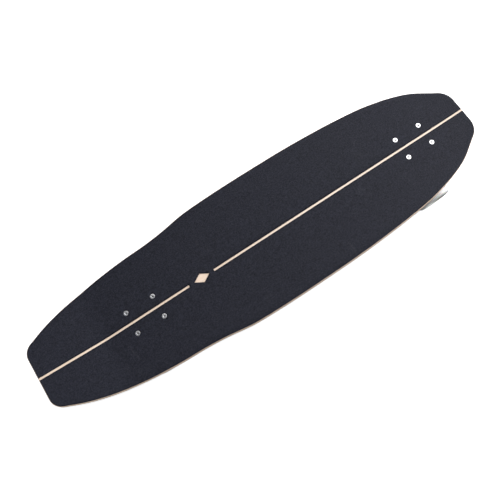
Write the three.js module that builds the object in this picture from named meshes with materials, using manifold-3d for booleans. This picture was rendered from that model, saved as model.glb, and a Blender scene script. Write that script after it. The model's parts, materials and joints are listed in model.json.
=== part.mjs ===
// Surf skateboard: a wide board with a swinging front truck and a tall tilting rear truck.
// Millimetres, +X to the nose, +Y to the rider's left, +Z up. The origin is on the ground,
// below the middle of the board.

import * as THREE from 'three';
import { mergeVertices } from 'three/addons/utils/BufferGeometryUtils.js';
import Module from 'manifold-3d';

const wasm = await Module();
wasm.setup();

// Clearances, and the overrun that lets a cutter pass the face it cuts

const fitGap = 0.3;
const seatGap = 0.3;
const overrun = 1;

// Deck: seven-ply maple with a kicked tail, a slightly raised nose and a shallow concave

const deckLength = 900;
const deckHalfWidth = 121.8;
const deckThickness = 11;
const tailEndHalfWidth = 38;
const tailCornerRadius = 25;
const noseEndHalfWidth = 25;
const noseCornerRadius = 35;
const kickLength = 134;
const kickBendLength = 28;
const kickSlope = 0.198;
const noseRiseLength = 74;
const noseRise = 2.5;
const flatHalfWidth = 28;
const concaveRise = 5.7;
const concaveSpan = 97;
const tailArcTurn = THREE.MathUtils.degToRad(69);
const noseArcTurn = THREE.MathUtils.degToRad(58);
const arcSteps = 3;
const railSteps = 26;
const sideCells = 3;
const narrowFlatShare = 0.6;

// Rail between the corners, as shares of the length from the tail and of the half width
const railShares = [
  [0.0542, 0.615], [0.0987, 0.715], [0.1543, 0.7955], [0.1988, 0.8376], [0.2432, 0.864],
  [0.2877, 0.879], [0.3321, 0.911], [0.3655, 0.95], [0.3877, 0.972], [0.4211, 0.987],
  [0.4878, 0.999], [0.5545, 1], [0.6211, 0.996], [0.6878, 0.9786], [0.7545, 0.947],
  [0.8212, 0.896], [0.8545, 0.85], [0.8879, 0.791], [0.9324, 0.673],
];

// Grip tape: a coarse black sheet, slit along the middle so that a line of wood shows

const gripThickness = 0.8;
const gripInset = 0.8;
const slitWidth = 4;
const slitToLozenge = 10.2;
const lozengeFromTail = 316.5;
const lozengeLength = 31;
const lozengeWidth = 18;

// Truck bolts and their lock nuts, on the standard hole pattern

const boltSpacingAlong = 53.98;
const boltSpacingAcross = 41.28;
const boltHeadDiameter = 8.6;
const boltShankDiameter = 4.8;
const boltHeadRim = 0.5;
const boltHeadDrop = 0.2;
const boltSocketWidth = 3.2;
const boltSocketDepth = 1.6;
const boltEndBelowNut = 2.4;
const lockNutWidth = 9.5;
const lockNutHexHeight = 4;
const lockNutCollarDiameter = 8.6;
const lockNutCollarHeight = 1.5;
const boltSides = 12;

// Trucks: places are given from the axle's middle, outboard and up

const noseToFrontBolts = 114;
const tailToRearBolts = 199;
const frontBoltOffset = -8;
const rearBoltOffset = -14;
const wheelRadius = 35;
const kingpinInboard = 32;
const kingpinRingRise = 21;
const pivotSlope = THREE.MathUtils.degToRad(30);

const plateHalfWidth = 30;
const plateCorner = 8;
const plateThickness = 6;
const plateMargin = 19;
const frontRiserThickness = 3;
const rearRiserThickness = 12;
const plateHoleDiameter = 5.6;

const bodyHalfWidth = 13;
const bossRadius = 13;
const cupHousingRadius = 13.5;
const cupHousingStart = 37.5;
const cupHousingWall = 3.7;
const turnSides = 16;

// Kingpin stack, measured from the hanger ring's middle along the kingpin

const ringRadius = 15;
const ringHoleRadius = 8;
const ringThickness = 9;
const upperBushingHeight = 12;
const upperBushingRadius = 12;
const lowerBushingHeight = 10;
const lowerBushingRadius = 10;
const bushingWaist = 0.8;
const washerRadius = 11;
const washerThickness = 2;
const kingpinRadius = 4.76;
const kingpinNutWidth = 14.3;
const kingpinNutHeight = 7;
const kingpinEndBelowNut = 2.6;
const kingpinHeadHeight = 6;
const kingpinPocketRadius = 9;
const bossDepth = 17.6;

// Hanger, its pivot nose and the cup that the nose turns in

const frontHangerHalfLength = 70;
const rearHangerHalfLength = 56;
const hangerTubeRadius = 8.8;
const hangerEndRadius = 7.6;
const hangerEndLength = 14;
const hangerTaperLength = 16;
const noseRadius = 6.5;
const noseRootRadius = 9;
const noseRootStart = 12;
const noseRootEnd = 31;
const noseTaper = 3;
const noseEnd = 50;
const noseTipChamfer = 1.5;
const webHalfWidth = 8;
const webStart = 13.6;
const webDepth = 8;
const wingToHangerEnd = 18;
const wingDrop = 29;
const wingShoulderReach = 22;
const wingShoulderDrop = 12;
const wingRootReach = 12;
const wingRootRise = 4;
const cupOuterRadius = 10;
const cupFloor = 2;

// Axles, wheels and bearings

const axleRadius = 4;
const axleEndPastNut = 2;
const wheelHalfWidth = 25.5;
const treadHalfWidth = 19;
const wheelShoulderRadius = 33;
const wheelShoulderWidth = 23.5;
const wheelFaceRadius = 29;
const wheelMouthRadius = 21;
const wheelRecessRadius = 17;
const wheelRecessWidth = 15;
const wheelCoreRadius = 14;
const wheelCoreHalfWidth = 12;
const wheelWebBoreRadius = 7.5;
const bearingRadius = 11;
const bearingWidth = 7;
const axleNutWidth = 12.7;
const axleNutHeight = 6;
const speedWasherThickness = 1;
const wheelSides = 22;
const bearingSides = 12;

// Front swing: a shaft leaning to the nose, in a housing under the plate

const swingOutboard = 54;
const swingHeight = 57;
const plateAboveSwing = 24.4;
const swingLean = THREE.MathUtils.degToRad(25);
const flangeRadius = 20.5;
const flangeThickness = 9;
const thrustWasherThickness = 1.5;
const housingRadius = 21;
const housingCavityRadius = 15.5;
const housingCavityDepth = 12.5;
const shaftRadius = 5;
const shaftRoof = 0.3;
const shaftHeadWidth = 16;
const shaftHeadHeight = 6;
const shaftSocketWidth = 8;
const shaftSocketDepth = 4;
const sleeveRadius = 7.5;
const sleeveCollarRadius = 12;
const sleeveCollarThickness = 1.5;
const headRoomRadius = 13;
const headRoomDepth = 32;
const springWireRadius = 1.2;
const springRadius = 11;
const springTurns = 3.5;
const springStepsPerTurn = 10;
const springSides = 6;

// Places along the board that follow its ends

const kickStart = kickLength - deckLength / 2;
const noseRiseStart = deckLength / 2 - noseRiseLength;
const lozengeCentre = lozengeFromTail - deckLength / 2;
const rearSlitEnd = lozengeCentre - lozengeLength / 2 - slitToLozenge;
const frontSlitStart = lozengeCentre + lozengeLength / 2 + slitToLozenge;
const frontAxlePlace = deckLength / 2 - noseToFrontBolts - frontBoltOffset;
const rearAxlePlace = tailToRearBolts + rearBoltOffset - deckLength / 2;

// Places across a truck, from its hanger's end outwards
function acrossTruck(hangerHalfLength) {
  const wheelPlace = hangerHalfLength + speedWasherThickness + wheelCoreHalfWidth;
  const nutStart = wheelPlace + wheelCoreHalfWidth + speedWasherThickness;
  const nutMiddle = nutStart + axleNutHeight / 2;
  const axleHalfLength = nutStart + axleNutHeight + axleEndPastNut;
  return { wheelPlace, nutMiddle, axleHalfLength };
}

// Heights from the axle's middle: the board rides as high as the front truck carries it

const frontPlateTop = swingHeight + plateAboveSwing;
const frontPlateReach = swingOutboard + plateAboveSwing * Math.tan(swingLean)
  + housingRadius / Math.cos(swingLean);
const deckUnderside = frontPlateTop + seatGap + frontRiserThickness + seatGap;
const deckUndersideHeight = deckUnderside + wheelRadius;
const gripTop = deckUndersideHeight + deckThickness + seatGap + gripThickness;
const boltHeadTop = gripTop - boltHeadDrop;
const ringHalf = ringThickness / 2;
const upperBushingStart = ringHalf + seatGap;
const bossStart = upperBushingStart + upperBushingHeight + seatGap;
const pocketStart = bossStart + bossDepth;
const washerStart = -ringHalf - seatGap - lowerBushingHeight - seatGap;
const nutStart = washerStart - washerThickness - seatGap;
const cupInnerRadius = noseRadius + fitGap;
const cupEnd = noseEnd + 2 * cupFloor;
const cupHousingEnd = cupEnd + seatGap + cupHousingWall;
const flangeTop = flangeThickness / 2;
const housingStart = flangeTop + seatGap + thrustWasherThickness + seatGap;
const cavityEnd = housingStart + housingCavityDepth;
const housingReach = plateAboveSwing / Math.cos(swingLean) + housingRadius * Math.tan(swingLean);
const shaftHoleRadius = flats(shaftRadius + fitGap, turnSides);
const shaftHoleEnd = (plateAboveSwing - shaftRoof - shaftHoleRadius * Math.sin(swingLean))
  / Math.cos(swingLean);
const axleInHanger = {
  along: kingpinInboard * Math.cos(pivotSlope) - kingpinRingRise * Math.sin(pivotSlope),
  down: kingpinInboard * Math.sin(pivotSlope) + kingpinRingRise * Math.cos(pivotSlope),
};

// Turns a closed three.js geometry into a solid that can be joined and cut
function solid(geometry) {
  const bare = geometry.index ? geometry.clone() : geometry;
  bare.deleteAttribute('normal');
  bare.deleteAttribute('uv');
  const merged = mergeVertices(bare);
  const place = merged.attributes.position.array;
  const index = merged.index.array;
  const kept = [];
  let volume = 0;
  for (let i = 0; i < index.length; i += 3) {
    const [a, b, c] = [index[i], index[i + 1], index[i + 2]];
    if (a === b || b === c || c === a) continue;
    kept.push(a, b, c);
    const p = new THREE.Vector3().fromArray(place, 3 * a);
    const q = new THREE.Vector3().fromArray(place, 3 * b);
    const r = new THREE.Vector3().fromArray(place, 3 * c);
    volume += p.dot(q.cross(r));
  }
  if (volume < 0) kept.reverse();
  return new wasm.Manifold(new wasm.Mesh({
    numProp: 3,
    vertProperties: new Float32Array(place),
    triVerts: new Uint32Array(kept),
  }));
}

function join(...geometries) {
  return geometries.map(solid).reduce((whole, next) => whole.add(next));
}

function cut(whole, ...cutters) {
  const start = whole.isBufferGeometry ? solid(whole) : whole;
  return cutters.map(solid).reduce((rest, next) => rest.subtract(next), start);
}

function toGeometry(shape) {
  const mesh = (shape.isBufferGeometry ? solid(shape) : shape).getMesh();
  const geometry = new THREE.BufferGeometry();
  geometry.setAttribute('position', new THREE.BufferAttribute(mesh.vertProperties, 3));
  geometry.setIndex(new THREE.BufferAttribute(mesh.triVerts, 1));
  geometry.computeVertexNormals();
  return geometry;
}

// Profiles are lists of [radius, place along the axis]; a flat side faces down
function turnedAcross(profile, sides) {
  const points = profile.map(([radius, place]) => new THREE.Vector2(radius, place));
  return new THREE.LatheGeometry(points, sides, Math.PI / sides);
}

function turnedUp(profile, sides) {
  return turnedAcross(profile, sides).rotateX(Math.PI / 2);
}

function turnedAlong(profile, sides) {
  return turnedAcross(profile, sides).rotateZ(-Math.PI / 2);
}

// Radius of a polygon whose flats, not its corners, lie on the given radius
function flats(radius, sides) {
  return radius / Math.cos(Math.PI / sides);
}

function rod(radius, start, end) {
  return [[0, start], [radius, start], [radius, end], [0, end]];
}

function tube(inner, outer, start, end) {
  return [[inner, start], [outer, start], [outer, end], [inner, end], [inner, start]];
}

// A prism with its outline in the plane of the board's length and height
function sidePrism(points, halfWidth) {
  const shape = new THREE.Shape(points.map(([x, z]) => new THREE.Vector2(x, z)));
  const prism = new THREE.ExtrudeGeometry(shape, { depth: 2 * halfWidth, bevelEnabled: false });
  return prism.rotateX(Math.PI / 2).translate(0, halfWidth, 0);
}

function levelPlate(outline, bottom, top) {
  const options = { depth: top - bottom, bevelEnabled: false, curveSegments: 4 };
  return new THREE.ExtrudeGeometry(outline, options).translate(0, 0, bottom);
}

function roundedOutline(start, end, halfWidth, corner) {
  const quarter = Math.PI / 2;
  const outline = new THREE.Shape();
  outline.moveTo(start + corner, -halfWidth);
  outline.absarc(end - corner, corner - halfWidth, corner, -quarter, 0);
  outline.absarc(end - corner, halfWidth - corner, corner, 0, quarter);
  outline.absarc(start + corner, halfWidth - corner, corner, quarter, 2 * quarter);
  outline.absarc(start + corner, corner - halfWidth, corner, 2 * quarter, 3 * quarter);
  return outline;
}

function everythingAbove(height) {
  const side = deckLength;
  return new THREE.BoxGeometry(side, side, side).translate(0, 0, height + side / 2);
}

// From the hanger's frame, along the pivot and the kingpin, to the truck's frame
function fromHanger(geometry) {
  return geometry.rotateY(-pivotSlope).translate(-kingpinInboard, 0, kingpinRingRise);
}

function hangerPoint(along, up) {
  return [
    along * Math.cos(pivotSlope) - up * Math.sin(pivotSlope) - kingpinInboard,
    along * Math.sin(pivotSlope) + up * Math.cos(pivotSlope) + kingpinRingRise,
  ];
}

// From the swing shaft's frame to the truck's frame
function fromSwing(geometry) {
  return geometry.rotateY(swingLean).translate(swingOutboard, 0, swingHeight);
}

function swingPoint(along, up) {
  return [
    along * Math.cos(swingLean) + up * Math.sin(swingLean) + swingOutboard,
    up * Math.cos(swingLean) - along * Math.sin(swingLean) + swingHeight,
  ];
}

function piece(parent, name, shape, colour, roughness, metalness, place = [0, 0, 0]) {
  const material = new THREE.MeshStandardMaterial({ color: colour, roughness, metalness });
  const mesh = new THREE.Mesh(toGeometry(shape), material);
  mesh.name = name;
  mesh.position.set(...place);
  parent.add(mesh);
  return mesh;
}

const maple = [0xd9b98c, 0.55, 0];
const gritBlack = [0x2b2c31, 0.95, 0];
const steel = [0xc8c9cc, 0.3, 1];
const darkSteel = [0x8d8f93, 0.35, 1];
const castAluminium = [0x9da0a5, 0.45, 0.9];
const satinBlack = [0x1c1d1f, 0.45, 0.6];
const urethane = [0xc9c8c4, 0.45, 0];
const bushingRubber = [0xb04a30, 0.6, 0];
const risePlastic = [0x18191b, 0.7, 0];
const bronze = [0xa9824a, 0.4, 1];

// Deck surface: the height above its flat middle, and the slopes along and across
function deckSurface(x, y) {
  const pastKick = Math.max(0, kickStart - x);
  const inBend = Math.min(pastKick, kickBendLength);
  const kick = kickSlope * (pastKick - inBend + inBend * inBend / (2 * kickBendLength));
  const pastRise = Math.max(0, x - noseRiseStart);
  const riseSpan = deckLength / 2 - noseRiseStart;
  const pastFlat = Math.max(0, Math.abs(y) - flatHalfWidth);
  const height = kick + noseRise * (pastRise / riseSpan) ** 2
    + concaveRise * (pastFlat / concaveSpan) ** 2;
  const slopeAlong = 2 * noseRise * pastRise / riseSpan ** 2
    - kickSlope * inBend / kickBendLength;
  const slopeAcross = Math.sign(y) * 2 * concaveRise * pastFlat / concaveSpan ** 2;
  return { height, slopeAlong, slopeAcross };
}

// Stations from tail to nose, each a place along the board and a half width
function deckStations() {
  const stations = [];
  const end = deckLength / 2;
  for (let step = 0; step <= arcSteps; step += 1) {
    const turn = tailArcTurn * step / arcSteps;
    stations.push([
      tailCornerRadius * (1 - Math.cos(turn)) - end,
      tailEndHalfWidth + tailCornerRadius * Math.sin(turn),
    ]);
  }
  const noseArc = [];
  for (let step = 0; step <= arcSteps; step += 1) {
    const turn = noseArcTurn * (1 - step / arcSteps);
    noseArc.push([
      end - noseCornerRadius * (1 - Math.cos(turn)),
      noseEndHalfWidth + noseCornerRadius * Math.sin(turn),
    ]);
  }
  const railPoints = railShares.map(([along, across]) => (
    [along * deckLength - end, across * deckHalfWidth]
  ));
  const knots = [stations.pop(), ...railPoints, noseArc.shift()];
  const rail = new THREE.CatmullRomCurve3(
    knots.map(([x, y]) => new THREE.Vector3(x, y, 0)), false, 'centripetal',
  );
  for (const point of rail.getSpacedPoints(railSteps)) stations.push([point.x, point.y]);
  return stations.concat(noseArc);
}

// A closed sheet that follows the deck's surface between two heights above it
function deckSheet(low, high, inset) {
  const rows = [];
  for (const [x, halfWidth] of deckStations()) {
    const along = x * (1 - 2 * inset / deckLength);
    const width = halfWidth - inset;
    const flat = Math.min(flatHalfWidth, width * narrowFlatShare);
    const row = [0];
    for (let cell = 0; cell <= sideCells; cell += 1) {
      const y = flat + (width - flat) * cell / sideCells;
      row.unshift(-y);
      row.push(y);
    }
    rows.push(row.map((y) => ({ x: along, y, ...deckSurface(along, y) })));
  }
  const across = rows[0].length;
  const level = rows.length * across;
  const places = [];
  for (const offset of [low, high]) {
    for (const { x, y, height, slopeAlong, slopeAcross } of rows.flat()) {
      const lean = offset / Math.hypot(1, slopeAlong, slopeAcross);
      places.push(x - slopeAlong * lean, y - slopeAcross * lean);
      places.push(deckUndersideHeight + deckThickness + height + lean);
    }
  }
  const faces = [];
  const wall = (from, to) => {
    faces.push(from, to, to + level, from, to + level, from + level);
  };
  for (let i = 0; i < rows.length - 1; i += 1) {
    for (let j = 0; j < across - 1; j += 1) {
      const a = i * across + j;
      const [b, c, d] = [a + across, a + across + 1, a + 1];
      faces.push(a + level, b + level, c + level, a + level, c + level, d + level);
      faces.push(a, c, b, a, d, c);
    }
    wall(i * across, (i + 1) * across);
    wall((i + 2) * across - 1, (i + 1) * across - 1);
  }
  for (let j = 0; j < across - 1; j += 1) {
    wall(j + 1, j);
    wall((rows.length - 1) * across + j, (rows.length - 1) * across + j + 1);
  }
  const geometry = new THREE.BufferGeometry();
  geometry.setAttribute('position', new THREE.Float32BufferAttribute(places, 3));
  geometry.setIndex(faces);
  return geometry;
}

// The eight bolts: where each goes, and how far down its nut sits
function boltPlaces() {
  const trucks = [
    ['front', frontAxlePlace + frontBoltOffset, frontRiserThickness],
    ['rear', rearAxlePlace - rearBoltOffset, rearRiserThickness],
  ];
  const places = [];
  for (const [truck, middle, riser] of trucks) {
    for (const [sideName, side] of [['left', 1], ['right', -1]]) {
      for (const [endName, end] of [['nose', 1], ['tail', -1]]) {
        places.push({
          name: `${truck}_${sideName}_${endName}`,
          x: middle + end * boltSpacingAlong / 2,
          y: side * boltSpacingAcross / 2,
          nutTop: deckUndersideHeight - 3 * seatGap - riser - plateThickness,
        });
      }
    }
  }
  return places;
}

// A countersunk head and shank, grown by a clearance when it is used as a cutter
function boltProfile(length, growth, headRise) {
  const head = boltHeadDiameter / 2 + growth;
  const shank = boltShankDiameter / 2 + growth;
  const coneEnd = -boltHeadRim - (head - shank);
  return [[0, headRise], [head, headRise], [head, -boltHeadRim], [shank, coneEnd],
    [shank, -length], [0, -length]];
}

function lockNut() {
  const half = flats(lockNutWidth / 2, 6);
  const collar = lockNutCollarDiameter / 2;
  const hexBottom = -lockNutHexHeight;
  const bottom = hexBottom - lockNutCollarHeight;
  const bore = flats(boltShankDiameter / 2 + fitGap, boltSides);
  return cut(
    join(turnedUp(rod(half, hexBottom, 0), 6),
      turnedUp(rod(collar, bottom, hexBottom / 2), boltSides)),
    turnedUp(rod(bore, bottom - overrun, overrun), boltSides),
  );
}

function buildDeck(board) {
  const cutters = boltPlaces().map(({ x, y }) => (
    turnedUp(boltProfile(deckThickness * 2, fitGap, deckThickness), boltSides)
      .translate(x, y, boltHeadTop)
  ));
  piece(board, 'deck', cut(deckSheet(-deckThickness, 0, 0), ...cutters), ...maple);

  const end = deckLength / 2;
  const slit = (from, to) => new THREE.BoxGeometry(to - from, slitWidth, deckLength)
    .translate((from + to) / 2, 0, 0);
  const lozenge = levelPlate(new THREE.Shape([
    new THREE.Vector2(lozengeCentre - lozengeLength / 2, 0),
    new THREE.Vector2(lozengeCentre, -lozengeWidth / 2),
    new THREE.Vector2(lozengeCentre + lozengeLength / 2, 0),
    new THREE.Vector2(lozengeCentre, lozengeWidth / 2),
  ]), 0, deckLength);
  piece(board, 'grip_tape', cut(
    deckSheet(seatGap, seatGap + gripThickness, gripInset),
    slit(-end - overrun, rearSlitEnd),
    slit(frontSlitStart, end + overrun),
    lozenge,
    ...cutters,
  ), ...gritBlack);

  for (const { name, x, y, nutTop } of boltPlaces()) {
    const length = boltHeadTop - nutTop + lockNutHexHeight + lockNutCollarHeight
      + boltEndBelowNut;
    const socket = turnedUp(rod(flats(boltSocketWidth / 2, 6), -boltSocketDepth, overrun), 6);
    const bolt = cut(turnedUp(boltProfile(length, 0, 0), boltSides), socket);
    piece(board, `${name}_bolt`, bolt, ...steel, [x, y, boltHeadTop]);
    piece(board, `${name}_lock_nut`, lockNut(), ...darkSteel, [x, y, nutTop]);
  }
}

// Four holes for the truck bolts through anything between two heights
function boltHoles(offset, bottom, top) {
  const holes = [];
  for (const end of [-1, 1]) {
    for (const side of [-1, 1]) {
      const hole = rod(flats(plateHoleDiameter / 2, boltSides), bottom - overrun, top + overrun);
      holes.push(turnedUp(hole, boltSides)
        .translate(offset + end * boltSpacingAlong / 2, side * boltSpacingAcross / 2, 0));
    }
  }
  return holes;
}

function buildRiser(truck, name, offset, thickness, start, end) {
  const top = deckUnderside - seatGap;
  const outline = roundedOutline(start, end, plateHalfWidth, plateCorner);
  const riser = cut(levelPlate(outline, top - thickness, top),
    ...boltHoles(offset, top - thickness, top));
  piece(truck, name, riser, ...risePlastic);
  return top - thickness - seatGap;
}

// The casting's parts that carry a hanger: the kingpin boss and the pivot cup's housing
function hangerSeats() {
  const boss = turnedUp(rod(bossRadius, bossStart, pocketStart + kingpinHeadHeight), turnSides);
  const housing = turnedAlong(rod(cupHousingRadius, cupHousingStart, cupHousingEnd), turnSides);
  return [fromHanger(boss), fromHanger(housing)];
}

function hangerSeatCutters() {
  const kingpinHole = rod(flats(kingpinRadius + fitGap, turnSides),
    bossStart - overrun, pocketStart + overrun);
  const pocket = rod(kingpinPocketRadius, pocketStart, deckUnderside);
  const cupBore = rod(flats(cupOuterRadius + fitGap, turnSides),
    cupHousingStart - overrun, cupEnd + seatGap);
  return [
    fromHanger(turnedUp(kingpinHole, turnSides)),
    fromHanger(turnedUp(pocket, turnSides)),
    fromHanger(turnedAlong(cupBore, turnSides)),
  ];
}

// The underside of the casting, which clears the hanger's ring and nose
function castingUnderside() {
  return [
    hangerPoint(-bossRadius, pocketStart),
    hangerPoint(-bossRadius, bossStart),
    hangerPoint(bossRadius, bossStart),
    hangerPoint(cupHousingStart, cupHousingRadius - seatGap),
    hangerPoint(cupHousingEnd, -cupInnerRadius),
  ];
}

function buildRearBaseplate(truck) {
  const start = rearBoltOffset - boltSpacingAlong / 2 - plateMargin;
  const end = rearBoltOffset + boltSpacingAlong / 2 + plateMargin;
  const top = buildRiser(truck, 'rear_riser', rearBoltOffset, rearRiserThickness, start, end);
  const bottom = top - plateThickness;
  const middle = bottom + plateThickness / 2;
  const body = [...castingUnderside(), [end - plateCorner, middle], [start, middle]];
  const baseplate = cut(
    join(levelPlate(roundedOutline(start, end, plateHalfWidth, plateCorner), bottom, top),
      sidePrism(body, bodyHalfWidth), ...hangerSeats()),
    ...hangerSeatCutters(),
    ...boltHoles(rearBoltOffset, bottom, top),
    everythingAbove(top),
  );
  piece(truck, 'rear_baseplate', baseplate, ...satinBlack);
}

function buildFrontBaseplate(truck) {
  const start = frontBoltOffset - boltSpacingAlong / 2 - plateMargin / 2;
  const top = buildRiser(truck, 'front_riser', frontBoltOffset, frontRiserThickness,
    start, frontPlateReach);
  const bottom = top - plateThickness;
  const housing = turnedUp(rod(housingRadius, housingStart, housingReach), turnSides);
  const cavity = turnedUp(rod(flats(housingCavityRadius, turnSides),
    housingStart - overrun, cavityEnd), turnSides);
  const shaftHole = turnedUp(rod(shaftHoleRadius, cavityEnd - overrun, shaftHoleEnd), turnSides);
  const baseplate = cut(
    join(levelPlate(roundedOutline(start, frontPlateReach, plateHalfWidth, plateCorner),
      bottom, top), fromSwing(housing)),
    everythingAbove(top),
    fromSwing(cavity),
    fromSwing(shaftHole),
    ...boltHoles(frontBoltOffset, bottom, top),
  );
  piece(truck, 'front_baseplate', baseplate, ...satinBlack);
}

// Return spring: one wire wound in a helix inside the housing
class SpringPath extends THREE.Curve {
  getPoint(share) {
    const turn = share * springTurns * 2 * Math.PI;
    const low = flangeTop + seatGap + springWireRadius;
    const high = cavityEnd - seatGap - springWireRadius;
    return new THREE.Vector3(
      springRadius * Math.cos(turn), springRadius * Math.sin(turn), low + (high - low) * share,
    );
  }
}

// The coil's least gap to itself, between points at least half a turn apart
function leastCoilGap(path) {
  const points = path.getPoints(Math.round(springTurns * springStepsPerTurn));
  let least = Infinity;
  points.forEach((point, i) => {
    for (const other of points.slice(i + springStepsPerTurn / 2)) {
      least = Math.min(least, point.distanceTo(other) - 2 * springWireRadius);
    }
  });
  return least;
}

function buildSwingArm(truck) {
  const swing = new THREE.Group();
  swing.rotation.y = swingLean;
  swing.position.set(swingOutboard, 0, swingHeight);
  truck.add(swing);

  const flange = turnedUp(rod(flangeRadius, -flangeTop, flangeTop), turnSides);
  const sleeveBore = turnedUp(rod(flats(sleeveRadius + fitGap, turnSides),
    -flangeTop - overrun, flangeTop + overrun), turnSides);
  const headRoom = turnedUp(rod(headRoomRadius, -flangeTop - headRoomDepth, -flangeTop), turnSides);
  const armBody = [
    ...castingUnderside(),
    swingPoint(-flangeRadius / 2, -flangeTop - shaftHeadHeight),
    swingPoint(0, -flangeTop / 2),
    swingPoint(-flangeRadius + flangeTop, flangeTop / 2),
    hangerPoint(cupHousingStart, cupHousingStart / 2),
    hangerPoint(bossRadius, pocketStart + kingpinHeadHeight / 2),
  ];
  const arm = cut(
    join(sidePrism(armBody, bodyHalfWidth), fromSwing(flange), ...hangerSeats()),
    fromSwing(sleeveBore),
    fromSwing(headRoom),
    ...hangerSeatCutters(),
  );
  piece(truck, 'swing_arm', arm, ...castAluminium);

  const sleeve = join(
    turnedUp(tube(shaftRadius + fitGap, sleeveRadius, -flangeTop - seatGap, flangeTop), turnSides),
    turnedUp(tube(shaftRadius + fitGap, sleeveCollarRadius,
      -flangeTop - seatGap - sleeveCollarThickness, -flangeTop - seatGap), turnSides),
  );
  piece(swing, 'swing_sleeve', sleeve, ...bronze);

  const washerInner = housingCavityRadius - seatGap;
  piece(swing, 'swing_thrust_washer', turnedUp(tube(washerInner, flangeRadius,
    flangeTop + seatGap, flangeTop + seatGap + thrustWasherThickness), turnSides), ...bronze);

  const headTop = -flangeTop - 2 * seatGap - sleeveCollarThickness;
  const headBottom = headTop - shaftHeadHeight;
  const shaft = cut(
    join(
      turnedUp(rod(shaftRadius, headTop - overrun, shaftHoleEnd - seatGap), turnSides),
      turnedUp(rod(shaftHeadWidth / 2, headBottom, headTop), turnSides),
    ),
    turnedUp(rod(flats(shaftSocketWidth / 2, 6), headBottom - overrun,
      headBottom + shaftSocketDepth), 6),
  );
  piece(swing, 'swing_shaft', shaft, ...steel);

  const wire = new THREE.Shape();
  wire.absarc(0, 0, springWireRadius, 0, 2 * Math.PI);
  const spring = new THREE.ExtrudeGeometry(wire, {
    steps: Math.round(springTurns * springStepsPerTurn),
    curveSegments: springSides / 2,
    bevelEnabled: false,
    extrudePath: new SpringPath(),
  });
  console.log(`return_spring: least gap to itself ${leastCoilGap(new SpringPath()).toFixed(2)} mm`);
  piece(swing, 'return_spring', spring, ...darkSteel);
}

// The kingpin, what is stacked on it, and the cup at the other end of the hanger's pivot
function buildKingpinStack(hangerFrame, truckName) {
  const shankClear = flats(kingpinRadius + fitGap, turnSides);
  const upperEnd = upperBushingStart + upperBushingHeight;
  const upperWaist = upperBushingRadius - bushingWaist;
  const upper = [
    [shankClear, upperBushingStart], [upperWaist, upperBushingStart],
    [upperBushingRadius, upperBushingStart + upperBushingHeight / 2],
    [upperWaist, upperEnd], [shankClear, upperEnd], [shankClear, upperBushingStart],
  ];
  piece(hangerFrame, `${truckName}_upper_bushing`, turnedUp(upper, turnSides), ...bushingRubber);

  const lowerTop = -ringHalf - seatGap;
  const lowerEnd = lowerTop - lowerBushingHeight;
  const lower = [
    [shankClear, lowerEnd], [lowerBushingRadius - bushingWaist, lowerEnd],
    [lowerBushingRadius, lowerTop], [shankClear, lowerTop], [shankClear, lowerEnd],
  ];
  piece(hangerFrame, `${truckName}_lower_bushing`, turnedUp(lower, turnSides), ...bushingRubber);

  const washer = tube(shankClear, washerRadius, washerStart - washerThickness, washerStart);
  piece(hangerFrame, `${truckName}_bushing_washer`, turnedUp(washer, turnSides), ...darkSteel);

  const nutEnd = nutStart - kingpinNutHeight;
  const nut = cut(turnedUp(rod(flats(kingpinNutWidth / 2, 6), nutEnd, nutStart), 6),
    turnedUp(rod(shankClear, nutEnd - overrun, nutStart + overrun), turnSides));
  piece(hangerFrame, `${truckName}_kingpin_nut`, nut, ...darkSteel);

  const headStart = pocketStart + seatGap;
  const kingpin = join(
    turnedUp(rod(kingpinRadius, nutEnd - kingpinEndBelowNut, headStart + overrun), turnSides),
    turnedUp(rod(flats(kingpinNutWidth / 2, 6), headStart, headStart + kingpinHeadHeight), 6),
  );
  piece(hangerFrame, `${truckName}_kingpin`, kingpin, ...steel);

  const cup = cut(
    turnedAlong(rod(cupOuterRadius, cupHousingStart + seatGap, cupEnd), turnSides),
    turnedAlong(rod(flats(cupInnerRadius, turnSides), cupHousingStart - overrun,
      cupEnd - cupFloor), turnSides),
  );
  piece(hangerFrame, `${truckName}_pivot_cup`, cup, ...bushingRubber);
}

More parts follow.
